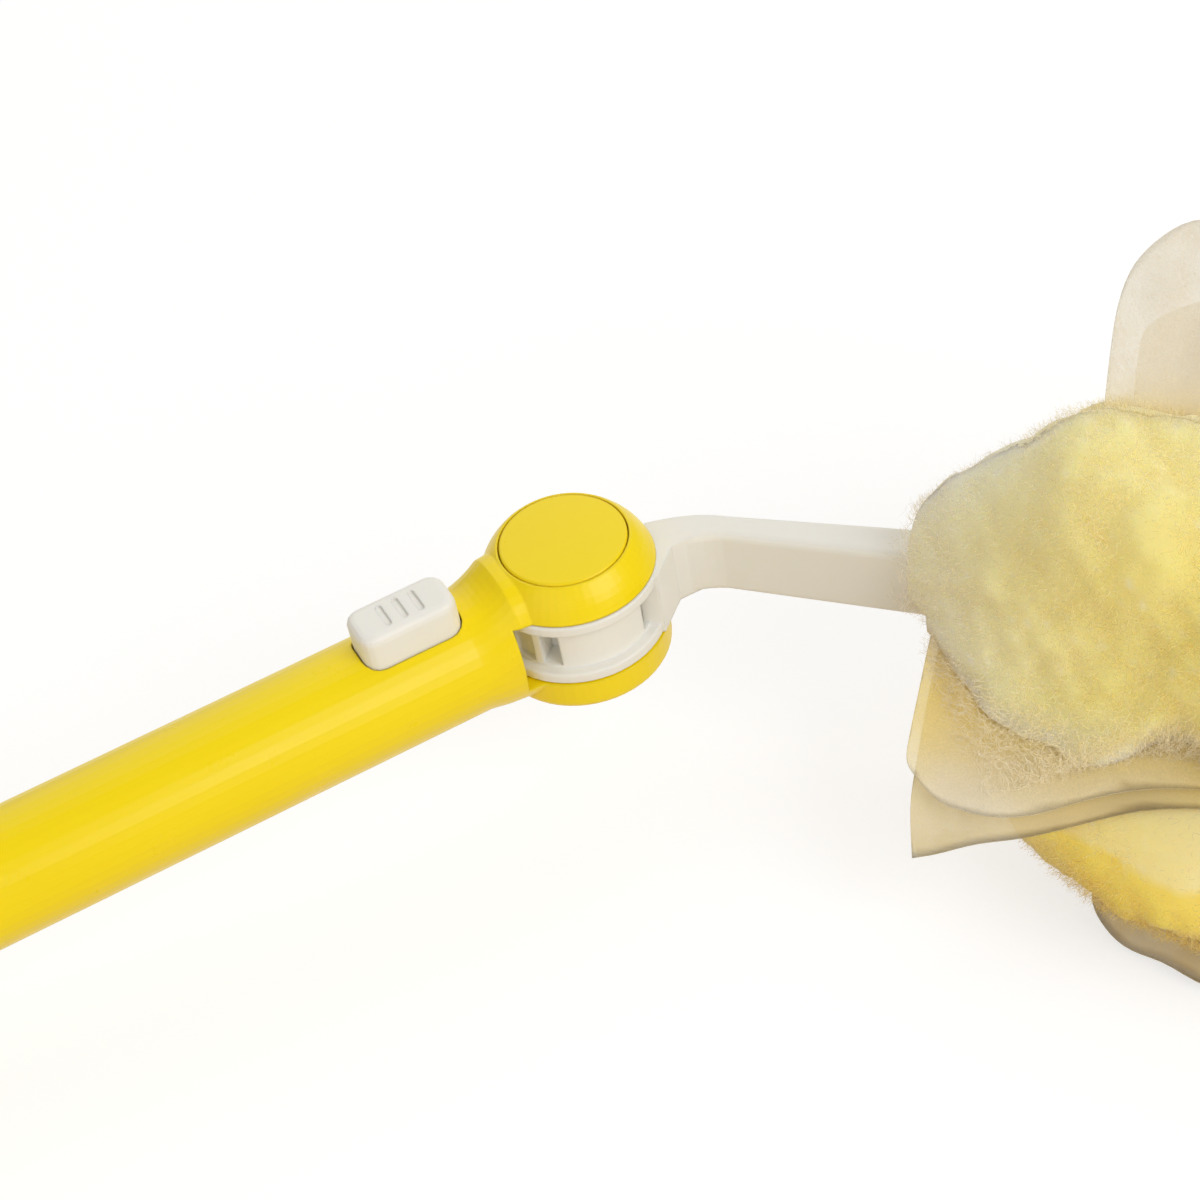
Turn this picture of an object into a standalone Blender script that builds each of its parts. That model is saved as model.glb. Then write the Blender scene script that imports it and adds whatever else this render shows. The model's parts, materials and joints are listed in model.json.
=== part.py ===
"""Extendable hand duster with a tilting head, an angle lock button and a slip-on fibre refill.

The design frame has +X along the handle towards the head and +Z along the tilting head's pin,
with its origin where the pin crosses the handle's axis. One empty tips that frame so that the
duster lies on a table as it is left there: on its refill and on the end of its grip.
"""

import math

import bmesh
import bpy
from mathutils import Matrix, Vector

mm = 0.001

# Clearances
touch_gap = 0.3 * mm
running_gap = 0.3 * mm
overrun = 2.0 * mm
weld_distance = 0.002 * mm

# Front tube, one moulding with the neck and the two ears of the yoke
tube_radius = 12.9 * mm
tube_wall = 1.6 * mm
tube_length = 205.0 * mm
bore_front = 24.5 * mm
tube_edge = 0.5 * mm

# Neck between the tube and the ears
neck_start = 26.0 * mm
neck_fillet = 13.5 * mm
neck_end = 7.0 * mm
side_fillet = 10.0 * mm
neck_inset = 0.35 * mm
neck_squareness_share = 0.5
neck_stations = 15

# Yoke ears and the hub between them
hub_mid_height = 2.0 * mm
hub_height = 16.0 * mm
upper_ear_thickness = 7.0 * mm
upper_ear_radius = 18.2 * mm
lower_ear_thickness = 7.4 * mm
lower_ear_radius = 18.8 * mm
ear_rim = 0.4 * mm
ear_rim_drop = 0.3 * mm
ear_bow = 0.5 * mm
lower_ear_edge = 2.2 * mm
throat_radius = 19.3 * mm
throat_back = 18.1 * mm

# Pivot
pin_radius = 3.0 * mm
pin_head_radius = 5.5 * mm
pin_head_height = 2.0 * mm
pin_counterbore = 2.6 * mm
washer_radius = 5.6 * mm
washer_thickness = 0.7 * mm
retainer_radius = 5.2 * mm
retainer_thickness = 0.8 * mm
cap_radius = 13.2 * mm
cap_thickness = 2.0 * mm
cap_crown = 0.5 * mm
cap_skirt_radius = 7.6 * mm
cap_skirt_wall = 1.4 * mm
cap_pocket_depth = 4.9 * mm

# Hub, arm and fork, one moulding
hub_radius = 18.6 * mm
hub_wall_radius = 16.4 * mm
flange_thickness = 2.6 * mm
flange_edge = 0.35 * mm
notch_width = 4.0 * mm
notch_depth = 5.4 * mm
notch_rim = 0.7 * mm
core_depth = 1.3 * mm
core_width = 4.6 * mm
core_angle = -112.0
lock_angles = (0.0, 45.0, 90.0, 173.0)
rest_bend = 45.0
arm_offset = 16.0 * mm
arm_start = 9.0 * mm
arm_start_side = 7.6 * mm
arm_start_heading = 38.0
arm_bend_end = 29.0 * mm
arm_end = 74.0 * mm
arm_root_thickness = 9.6 * mm
arm_neck_thickness = 6.6 * mm
arm_end_thickness = 9.0 * mm
arm_root_height = 15.5 * mm
arm_end_height = 17.2 * mm
arm_corner = 1.5 * mm
gusset_rim = 19.2 * mm
gusset_angle = -2.8
gusset_corner = 21.5 * mm
gusset_corner_angle = 23.2
gusset_lead_angle = 4.0
gusset_inset = 0.25 * mm

# Fork tines that carry the refill
tine_spread = 15.0 * mm
tine_width = 7.0 * mm
tine_thickness = 2.8 * mm
tine_root = 66.0 * mm
tine_root_side = 3.6 * mm
tine_straight = 88.0 * mm
tine_tip = 226.0 * mm
tine_tip_length = 12.0 * mm
tine_tip_width = 4.0 * mm
tine_root_width = 9.0 * mm
tine_root_thickness = 7.0 * mm
tine_corner = 1.0 * mm

# Push button on top of the tube
button_x = -36.5 * mm
button_length = 21.4 * mm
button_width = 11.2 * mm
button_corner = 3.4 * mm
button_top = 19.5 * mm
button_edge = 1.7 * mm
button_base = 9.4 * mm
button_lip = 1.0 * mm
button_lip_height = 1.2 * mm
button_lip_top = 8.0 * mm
button_slot_gap = 0.35 * mm
rib_count = 3
rib_pitch = 3.6 * mm
rib_width = 1.3 * mm
rib_length = 6.4 * mm
rib_depth = 0.45 * mm
leg_half_width = 2.2 * mm
leg_bottom = 1.0 * mm
leg_front = -29.5 * mm
leg_ramp = -32.5 * mm

# Lock pawl, its carrier and its spring
pawl_nose_gap = 0.4 * mm
pawl_mid_height = 0.2 * mm
pawl_height = 6.4 * mm
pawl_nose_half_width = 1.9 * mm
pawl_half_width = 4.8 * mm
pawl_shoulder = -25.0 * mm
pawl_window_front = -26.0 * mm
pawl_window_half_width = 2.6 * mm
pawl_ramp_gap = 0.4 * mm
pawl_back = -43.5 * mm
spring_radius = 2.6 * mm
spring_wire = 0.35 * mm
spring_turns = 6
spring_points = 10
carrier_front = -25.0 * mm
carrier_back = -61.0 * mm
carrier_radius = 10.9 * mm
carrier_wall = -56.5 * mm
carrier_floor_gap = 0.3 * mm
carrier_top = 3.0 * mm
spring_peg_radius = 1.5 * mm
spring_peg_length = 3.0 * mm

# Telescoping pipe and its guides
pipe_radius = 9.6 * mm
pipe_wall = 1.1 * mm
stop_length = 11.0 * mm
stop_radius = 11.0 * mm
stop_lip = 0.9 * mm
collar_flange = 2.6 * mm
collar_sleeve = 18.0 * mm
collar_radius = 12.9 * mm
collar_edge = 0.6 * mm
pipe_rest_gap = 3.8 * mm
pipe_socket_depth = 126.0 * mm

# Rear grip and its end cap
grip_rest_gap = 1.1 * mm
grip_length = 183.0 * mm
grip_front_radius = 12.9 * mm
grip_waist_radius = 11.9 * mm
grip_palm_radius = 14.4 * mm
grip_end_radius = 13.4 * mm
grip_edge = 0.8 * mm
grip_groove_count = 6
grip_groove_pitch = 5.0 * mm
grip_groove_width = 1.6 * mm
grip_groove_depth = 0.6 * mm
grip_groove_start = 13.0 * mm
grip_hollow_radius = 10.6 * mm
grip_palm_share = 0.7
grip_taper_share = 0.86
grip_taper_fall_share = 0.4
end_cap_dome = 4.5 * mm
end_cap_plug_length = 12.0 * mm
end_cap_plug_wall = 1.6 * mm
end_cap_rim = 1.2 * mm
eye_length = 15.0 * mm
eye_half_width = 6.6 * mm
eye_thickness = 4.2 * mm
eye_hole_radius = 3.8 * mm

# Refill: two welded pocket sheets, fibre lobes and loose flaps
pocket_start = 89.0 * mm
pocket_end = 236.0 * mm
pocket_half_height = 24.0 * mm
pocket_skin = 0.6 * mm
pocket_clearance = 0.4 * mm
pocket_weld_gap = 0.3 * mm
pocket_shoulder = 3.2 * mm
refill_start = 68.0 * mm
refill_end = 243.0 * mm
fibre_radius = 57.0 * mm
fibre_inner = 3.0 * mm
fibre_root_inner = 5.6 * mm
fibre_valley_share = 0.16
fibre_wave_share = 0.03
fibre_waves = 3.5
lobe_gap = 0.5 * mm
flap_skin = 0.5 * mm
flap_gap = 0.35 * mm
flap_root = 7.0 * mm
flap_top_root = 26.0 * mm
refill_rest_drop = 51.0 * mm

# Fibre lobes around the refill's axis: the angles in degrees of their two boundaries, where they start
# and end along the refill, and their crowns from one end to the other as shares of the fibre radius.
# The stations of a lobe or flap lie closer together towards its ends, and its values with them
lobe_angles = {
    "fibre_lobe_near_top": (93.0, 148.0),
    "fibre_lobe_near_middle": (148.0, 188.0),
    "fibre_lobe_near_low": (188.0, 234.0),
    "fibre_lobe_near_under": (234.0, 267.0),
    "fibre_lobe_far_under": (273.0, 330.0),
    "fibre_lobe_far_middle": (330.0, 386.0),
    "fibre_lobe_far_top": (386.0, 447.0),
}
lobe_span_shares = {
    "fibre_lobe_near_top": (0.02, 0.98),
    "fibre_lobe_near_middle": (0.03, 0.99),
    "fibre_lobe_near_low": (0.09, 0.97),
    "fibre_lobe_near_under": (0.06, 0.98),
    "fibre_lobe_far_under": (0.05, 0.97),
    "fibre_lobe_far_middle": (0.03, 1.00),
    "fibre_lobe_far_top": (0.00, 0.96),
}
lobe_reach_shares = {
    "fibre_lobe_near_top":
        (0.28, 0.33, 0.42, 0.51, 0.56, 0.60, 0.70, 0.85, 0.94, 0.96, 0.92, 0.80, 0.62, 0.44, 0.32),
    "fibre_lobe_near_middle":
        (0.24, 0.29, 0.40, 0.48, 0.54, 0.61, 0.71, 0.83, 0.91, 0.92, 0.86, 0.74, 0.57, 0.42, 0.30),
    "fibre_lobe_near_low":
        (0.46, 0.62, 0.82, 0.96, 1.10, 1.21, 1.25, 1.24, 1.23, 1.19, 1.10, 0.95, 0.75, 0.56, 0.42),
    "fibre_lobe_near_under":
        (0.32, 0.38, 0.49, 0.64, 0.83, 0.96, 1.04, 1.06, 1.06, 1.04, 0.98, 0.84, 0.65, 0.50, 0.38),
    "fibre_lobe_far_under":
        (0.34, 0.40, 0.54, 0.72, 0.91, 1.04, 1.13, 1.16, 1.16, 1.13, 1.05, 0.89, 0.68, 0.50, 0.38),
    "fibre_lobe_far_middle":
        (0.26, 0.31, 0.39, 0.50, 0.64, 0.75, 0.85, 0.92, 0.95, 0.93, 0.87, 0.76, 0.59, 0.44, 0.32),
    "fibre_lobe_far_top":
        (0.28, 0.31, 0.40, 0.42, 0.65, 0.73, 0.86, 0.93, 0.96, 0.94, 0.89, 0.78, 0.61, 0.45, 0.33),
}
# A boundary between two lobes may bend: its turn in degrees at the fibre radius, which grows by this power
boundary_turns = {188.0: 8.0, 234.0: -13.0}
boundary_turn_power = 1.5
boundary_probe_share = 0.01
crown_power = 4

# Loose non-woven flaps: the boundary each lies in, its side of it, its span, its reach from one end to
# the other and the turn of its free edge in degrees
flap_angles = {
    "flap_near_outer": 188.0,
    "flap_near_inner": 188.0,
    "flap_near_low": 234.0,
    "flap_far_low": 330.0,
    "flap_far_upper": 386.0,
    "flap_top": 447.0,
}
flap_sides = {"flap_near_outer": -1, "flap_near_inner": 1}
flap_span_shares = {
    "flap_near_outer": (0.035, 0.92),
    "flap_near_inner": (0.046, 0.92),
    "flap_near_low": (0.24, 0.92),
    "flap_far_low": (0.08, 0.95),
    "flap_far_upper": (0.22, 0.94),
    "flap_top": (0.213, 0.92),
}
flap_reach_shares = {
    "flap_near_outer":
        (0.76, 0.80, 0.90, 0.93, 0.84, 0.73, 0.70, 0.74, 0.80, 0.84, 0.84, 0.80, 0.73, 0.64, 0.56),
    "flap_near_inner":
        (0.90, 1.06, 1.03, 0.98, 0.92, 0.80, 0.76, 0.82, 0.88, 0.92, 0.90, 0.84, 0.76, 0.66, 0.58),
    "flap_near_low":
        (1.04, 1.10, 1.18, 1.24, 1.28, 1.30, 1.30, 1.30, 1.30, 1.28, 1.24, 1.16, 1.06, 0.94, 0.84),
    "flap_far_low":
        (0.70, 0.76, 0.88, 1.00, 1.08, 1.14, 1.17, 1.19, 1.19, 1.16, 1.10, 1.02, 0.92, 0.84, 0.76),
    "flap_far_upper":
        (0.90, 0.95, 1.01, 1.06, 1.09, 1.11, 1.13, 1.15, 1.15, 1.12, 1.06, 0.98, 0.88, 0.80, 0.72),
    "flap_top":
        (1.06, 1.17, 1.25, 1.31, 1.34, 1.35, 1.33, 1.34, 1.34, 1.28, 1.20, 1.10, 0.98, 0.88, 0.78),
}
flap_curls = {"flap_near_low": 10.0, "flap_far_low": -60.0, "flap_far_upper": 60.0, "flap_top": -50.0}
flap_ripple = 1.2 * mm
flap_free_margin = 4.0 * mm
flap_ripples = 2.5
flap_stations = 15
flap_rows = 7

# Steps along and around the lobes, and the limits of where a boundary meets the pocket's face
lobe_stations = 15
boundary_steps = 5
boundary_trials = 8
crown_steps = 7
least_lean_share = 0.08
longest_foot_share = 0.8

# Facets
tube_facets = 40
ear_facets = 56
small_facets = 20
arc_steps = 5
arm_straight_steps = 4
sharp_angle = 32.0

colours = {
    "yellow_plastic": ((0.92, 0.66, 0.004), 0.32, 0.0),
    "white_plastic": ((0.86, 0.85, 0.80), 0.42, 0.0),
    "steel": ((0.62, 0.62, 0.62), 0.30, 1.0),
    "spring_steel": ((0.45, 0.45, 0.46), 0.35, 1.0),
    "anodised_pipe": ((0.78, 0.78, 0.79), 0.35, 1.0),
    "nonwoven": ((0.86, 0.78, 0.56), 0.9, 0.0),
    "tow_fibre": ((0.87, 0.80, 0.42), 1.0, 0.0),
}


def clear_scene():
    for item in list(bpy.data.objects):
        bpy.data.objects.remove(item, do_unlink=True)


def make_material(name):
    colour, roughness, metallic = colours[name]
    made = bpy.data.materials.new(name)
    made.use_nodes = True
    shader = made.node_tree.nodes["Principled BSDF"]
    shader.inputs["Base Color"].default_value = (*colour, 1.0)
    shader.inputs["Roughness"].default_value = roughness
    shader.inputs["Metallic"].default_value = metallic
    return made


def make_empty(name, parent, place=(0, 0, 0), turn=0.0):
    empty = bpy.data.objects.new(name, None)
    bpy.context.scene.collection.objects.link(empty)
    empty.parent = parent
    empty.location = place
    empty.rotation_euler = (0, 0, turn)
    return empty


def make_object(name, shape, parent, material=None):
    """The closed shape as an object under its parent empty; a helper has no material and is not rendered."""
    bmesh.ops.recalc_face_normals(shape, faces=shape.faces)
    mesh = bpy.data.meshes.new(name)
    shape.to_mesh(mesh)
    shape.free()
    made = bpy.data.objects.new(name, mesh)
    bpy.context.scene.collection.objects.link(made)
    made.parent = parent
    if material is None:
        made.hide_render = True
        made.display_type = "WIRE"
    else:
        mesh.materials.append(materials[material])
        mesh.shade_smooth()
        mesh.set_sharp_from_angle(angle=math.radians(sharp_angle))
    return made


def boolean(target, other, operation):
    modifier = target.modifiers.new(operation.lower() + "_" + other.name, "BOOLEAN")
    modifier.operation = operation
    modifier.solver = "EXACT"
    modifier.object = other


def cut(target, other):
    boolean(target, other, "DIFFERENCE")


def join(target, other):
    boolean(target, other, "UNION")


def arc(centre_u, centre_v, radius, start, end, steps=arc_steps):
    """Points of an arc in degrees, both ends included."""
    points = []
    for step in range(steps + 1):
        angle = math.radians(start + (end - start) * step / steps)
        points.append((centre_u + radius * math.cos(angle), centre_v + radius * math.sin(angle)))
    return points


def bowed(start, end, bow, steps=arc_steps):
    """Points of a shallow arc between two points, bulging to the right of its way by the bow's height."""
    half = math.dist(start, end) / 2
    radius = (half * half + bow * bow) / (2 * bow)
    reach = math.asin(half / radius)
    heading = math.atan2(end[1] - start[1], end[0] - start[0])
    middle_u = (start[0] + end[0]) / 2 - (radius - bow) * math.sin(heading)
    middle_v = (start[1] + end[1]) / 2 + (radius - bow) * math.cos(heading)
    first = math.degrees(heading - math.pi / 2 - reach)
    last = math.degrees(heading - math.pi / 2 + reach)
    return arc(middle_u, middle_v, radius, first, last, steps)


def turned(profile, axis, facets, hollow=False):
    """A profile of (radius, height) points spun about X or Z."""
    shape = bmesh.new()
    if axis == "X":
        verts = [shape.verts.new((height, 0, radius)) for radius, height in profile]
        about = (1, 0, 0)
    else:
        verts = [shape.verts.new((radius, 0, height)) for radius, height in profile]
        about = (0, 0, 1)
    pairs = list(zip(verts, verts[1:]))
    if hollow:
        pairs.append((verts[-1], verts[0]))
    edges = [shape.edges.new(pair) for pair in pairs]
    bmesh.ops.spin(shape, geom=verts + edges, cent=(0, 0, 0), axis=about, angle=math.tau, steps=facets,
                   use_merge=True)
    bmesh.ops.remove_doubles(shape, verts=shape.verts, dist=weld_distance)
    return shape


def loft(rings):
    """A closed body through rings of equally many points, with flat ends."""
    shape = bmesh.new()
    loops = [[shape.verts.new(point) for point in ring] for ring in rings]
    for near, far in zip(loops, loops[1:]):
        for index in range(len(near)):
            after = (index + 1) % len(near)
            shape.faces.new((near[index], near[after], far[after], far[index]))
    shape.faces.new(list(reversed(loops[0])))
    shape.faces.new(loops[-1])
    return shape


def rounded_outline(half_width, half_height, corner, steps=3):
    """Points (u, v) around a rectangle with round corners."""
    corner = min(corner, half_width, half_height)
    points = []
    for index, (side_u, side_v) in enumerate(((1, 1), (-1, 1), (-1, -1), (1, -1))):
        points += arc(side_u * (half_width - corner), side_v * (half_height - corner), corner, 90 * index,
                      90 * (index + 1), steps)
    return points


def prism(outline, low, high, plane="XY"):
    """An outline extruded between two heights along the axis square to its plane."""
    place = {
        "XY": lambda u, v, w: (u, v, w),
        "XZ": lambda u, v, w: (u, w, v),
        "YZ": lambda u, v, w: (w, u, v),
    }[plane]
    return loft([[place(u, v, level) for u, v in outline] for level in (low, high)])


def block(low, high):
    outline = [(low[0], low[1]), (high[0], low[1]), (high[0], high[1]), (low[0], high[1])]
    return prism(outline, low[2], high[2])


def between(low, high, share):
    return low + (high - low) * share


def fillet_rise(distance, radius):
    """How far a concave fillet has risen at a distance from where it starts."""
    distance = max(0.0, min(distance, radius))
    return radius - math.sqrt(radius * radius - distance * distance)


def station_share(step, last):
    """How far along a lobe or flap a station is: the stations lie closer together towards both ends."""
    return (1 - math.cos(math.pi * step / last)) / 2


def table_value(values, share):
    """A smooth value between the stations of a table."""
    share = max(0.0, min(share, 1.0))
    place = math.acos(1 - 2 * share) / math.pi * (len(values) - 1)
    index = min(int(place), len(values) - 2)
    part = place - index
    part = part * part * (3 - 2 * part)
    return between(values[index], values[index + 1], part)


# Levels of the yoke, along the pin
hub_top = hub_mid_height + hub_height / 2
hub_bottom = hub_mid_height - hub_height / 2
throat_top = hub_top + running_gap
throat_bottom = hub_bottom - running_gap
ear_top = throat_top + upper_ear_thickness
ear_bottom = throat_bottom - lower_ear_thickness
bore_radius = tube_radius - tube_wall

# Stations of the grip and the pipe, along the handle
grip_front = -tube_length - touch_gap - collar_flange - grip_rest_gap
grip_back = grip_front - grip_length
pipe_back = grip_front - pipe_socket_depth
pipe_front = carrier_back - pipe_rest_gap - stop_lip - touch_gap

bend = math.radians(rest_bend)


def neck_section(x):
    """One ring of the front tube at x: a circle that grows into the ears' squarer outline."""
    along = x + neck_start
    rise = fillet_rise(along, neck_fillet)
    top = min(tube_radius + rise, ear_top - neck_inset)
    bottom = min(tube_radius + rise, -ear_bottom - neck_inset)
    fillet_reach = math.sqrt((upper_ear_radius + side_fillet) ** 2 - (tube_radius + side_fillet) ** 2)
    side = min(tube_radius + fillet_rise(x + fillet_reach, side_fillet), upper_ear_radius - neck_inset)
    power = 2.0 + neck_squareness_share * min(1.0, max(0.0, along) / (neck_start - fillet_reach))
    ring = []
    for index in range(tube_facets):
        angle = math.tau * index / tube_facets
        across, up = math.cos(angle), math.sin(angle)
        height = top if up > 0 else bottom
        ring.append((x, side * math.copysign(abs(across) ** (2 / power), across),
                     height * math.copysign(abs(up) ** (2 / power), up)))
    return ring


def make_front_tube(frame):
    edge_ring = [(-tube_length, y * (1 - tube_edge / tube_radius), z * (1 - tube_edge / tube_radius))
                 for _, y, z in neck_section(-tube_length)]
    stations = [-tube_length + tube_edge]
    for step in range(neck_stations):
        stations.append(between(-neck_start, -neck_end, step / (neck_stations - 1)))
    tube = make_object("front_tube", loft([edge_ring] + [neck_section(x) for x in stations]), frame,
                       "yellow_plastic")
    rim = cap_radius + touch_gap + ear_rim
    upper = [(0, throat_top - overrun), (upper_ear_radius, throat_top - overrun)]
    upper += bowed((upper_ear_radius, throat_top), (rim, ear_top - ear_rim_drop), ear_bow)
    upper.append((0, ear_top - ear_rim_drop))
    join(tube, make_object("upper_ear_form", turned(upper, "Z", ear_facets), frame))
    lower = [(0, throat_bottom + overrun), (lower_ear_radius, throat_bottom + overrun)]
    lower += arc(lower_ear_radius - lower_ear_edge, ear_bottom + lower_ear_edge, lower_ear_edge, 0, -90)
    lower.append((0, ear_bottom))
    join(tube, make_object("lower_ear_form", turned(lower, "Z", ear_facets), frame))

    bore = [(0, -tube_length - overrun), (bore_radius, -tube_length - overrun), (bore_radius, -bore_front),
            (0, -bore_front)]
    cut(tube, make_object("bore_cutter", turned(bore, "X", tube_facets), frame))
    side = throat_radius + overrun
    reach = math.degrees(math.acos(throat_back / throat_radius))
    throat = [(side, side), (-throat_back, side)] + arc(0, 0, throat_radius, 180 - reach, 180 + reach)
    throat += [(-throat_back, -side), (side, -side)]
    cut(tube, make_object("throat_cutter", prism(throat, throat_bottom, throat_top), frame))
    pin_hole = pin_radius + running_gap
    hole = [(0, ear_bottom - overrun), (pin_hole, ear_bottom - overrun), (pin_hole, ear_top + overrun),
            (0, ear_top + overrun)]
    cut(tube, make_object("pin_hole_cutter", turned(hole, "Z", small_facets), frame))
    head = [(0, ear_bottom - overrun), (pin_head_radius + running_gap, ear_bottom - overrun),
            (pin_head_radius + running_gap, ear_bottom + pin_counterbore), (0, ear_bottom + pin_counterbore)]
    cut(tube, make_object("counterbore_cutter", turned(head, "Z", small_facets), frame))
    recess = cap_radius + touch_gap
    pocket = cap_skirt_radius + touch_gap
    recess_floor = ear_top - cap_thickness - touch_gap
    cap_seat = [(0, ear_top - cap_pocket_depth), (pocket, ear_top - cap_pocket_depth), (pocket, recess_floor),
                (recess, recess_floor), (recess, ear_top + overrun), (0, ear_top + overrun)]
    cut(tube, make_object("cap_seat_cutter", turned(cap_seat, "Z", ear_facets), frame))

    slot = rounded_outline(button_length / 2 + button_slot_gap, button_width / 2 + button_slot_gap,
                           button_corner + button_slot_gap, 4)
    slot = [(button_x + u, v) for u, v in slot]
    cut(tube, make_object("slot_cutter", prism(slot, 0, button_top + overrun), frame))
    half = pawl_nose_half_width + running_gap
    low = pawl_mid_height - pawl_height / 2 - running_gap
    high = pawl_mid_height + pawl_height / 2 + running_gap
    channel = block((-bore_front - overrun, -half, low), (-throat_radius + overrun, half, high))
    cut(tube, make_object("pawl_channel_cutter", channel, frame))
    return tube


def make_pivot(frame):
    head_top = ear_bottom + pin_counterbore - touch_gap
    head_bottom = head_top - pin_head_height
    seat = ear_top - cap_pocket_depth
    washer_top = seat + touch_gap + washer_thickness
    ring_top = washer_top + touch_gap + retainer_thickness
    tail = ear_top - cap_thickness - touch_gap
    edge = touch_gap
    pin = [(0, head_bottom), (pin_head_radius - edge, head_bottom), (pin_head_radius, head_bottom + edge),
           (pin_head_radius, head_top), (pin_radius, head_top), (pin_radius, tail - edge),
           (pin_radius - edge, tail), (0, tail)]
    make_object("pivot_pin", turned(pin, "Z", small_facets), frame, "steel")
    inner = pin_radius + running_gap
    washer = [(inner, seat + touch_gap), (washer_radius, seat + touch_gap), (washer_radius, washer_top),
              (inner, washer_top)]
    make_object("pivot_washer", turned(washer, "Z", small_facets, True), frame, "steel")
    ring = [(inner, washer_top + touch_gap), (retainer_radius, washer_top + touch_gap),
            (retainer_radius, ring_top), (inner, ring_top)]
    make_object("retaining_ring", turned(ring, "Z", small_facets, True), frame, "spring_steel")

    under = ear_top - cap_thickness
    skirt_foot = seat + touch_gap
    rim = touch_gap
    crown = ear_top + cap_crown
    inside = cap_skirt_radius - cap_skirt_wall
    cap = [(0, under), (inside, under), (inside, skirt_foot),
           (cap_skirt_radius, skirt_foot), (cap_skirt_radius, under), (cap_radius, under),
           (cap_radius, ear_top - rim)]
    sphere = (cap_radius ** 2 + cap_crown ** 2) / (2 * cap_crown)
    for step in range(arc_steps + 1):
        radius = (cap_radius - rim) * (1 - step / arc_steps)
        cap.append((radius, crown - sphere + math.sqrt(sphere * sphere - radius * radius)))
    make_object("pivot_cap", turned(cap, "Z", ear_facets), frame, "yellow_plastic")


def arm_path():
    """Plan points of the arm's centre line with its heading, from inside the hub to its end."""
    start = Vector((arm_start, arm_start_side))
    finish = Vector((arm_bend_end, arm_offset))
    reach = (finish - start).length
    heading = math.radians(arm_start_heading)
    pull_start = Vector((math.cos(heading), math.sin(heading))) * reach
    pull_finish = Vector((reach, 0))
    steps = 2 * arc_steps
    path = []
    for step in range(steps + 1):
        t = step / steps
        point = (start * (2 * t ** 3 - 3 * t ** 2 + 1) + pull_start * (t ** 3 - 2 * t ** 2 + t)
                 + finish * (3 * t ** 2 - 2 * t ** 3) + pull_finish * (t ** 3 - t ** 2))
        slope = (start * (6 * t ** 2 - 6 * t) + pull_start * (3 * t ** 2 - 4 * t + 1)
                 + finish * (6 * t - 6 * t ** 2) + pull_finish * (3 * t ** 2 - 2 * t))
        path.append((point, slope.normalized()))
    for step in range(1, arm_straight_steps + 1):
        x = between(arm_bend_end, arm_end, step / arm_straight_steps)
        path.append((Vector((x, arm_offset)), Vector((1, 0))))
    return path


def arm_sections():
    rings = []
    for point, heading in arm_path():
        if point.x < arm_bend_end:
            share = (point.x - arm_start) / (arm_bend_end - arm_start)
            thickness = between(arm_root_thickness, arm_neck_thickness, share)
        else:
            share = (point.x - arm_bend_end) / (arm_end - arm_bend_end)
            thickness = between(arm_neck_thickness, arm_end_thickness, share)
        height = between(arm_root_height, arm_end_height, point.x / arm_end)
        left = Vector((-heading.y, heading.x))
        ring = []
        for across, up in rounded_outline(thickness / 2, height / 2, arm_corner):
            plan = point + left * across
            ring.append((plan.x, plan.y, up))
        rings.append(ring)
    return rings


def tine_sections(side):
    """Rings of one tine: it leaves the arm's end, spreads, and runs straight to a narrow tip."""
    rings = []
    spread_steps = 6
    stations = [between(tine_root, tine_straight, step / spread_steps) for step in range(spread_steps + 1)]
    stations += [tine_tip - tine_tip_length, tine_tip - tine_tip_length / 3, tine_tip]
    for x in stations:
        share = min(1.0, (x - tine_root) / (tine_straight - tine_root))
        smooth = share * share * (3 - 2 * share)
        centre = side * between(tine_root_side, tine_spread, smooth)
        width = between(tine_root_width, tine_width, smooth)
        thickness = between(tine_root_thickness, tine_thickness, smooth)
        if x > tine_tip - tine_tip_length:
            tip_share = (x - tine_tip + tine_tip_length) / tine_tip_length
            width = between(tine_width, tine_tip_width, tip_share ** 2)
        outline = rounded_outline(thickness / 2, width / 2, tine_corner)
        rings.append([(x, arm_offset + across, centre + up) for across, up in outline])
    return rings


def polar(radius, degrees):
    angle = math.radians(degrees)
    return (radius * math.cos(angle), radius * math.sin(angle))


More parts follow.
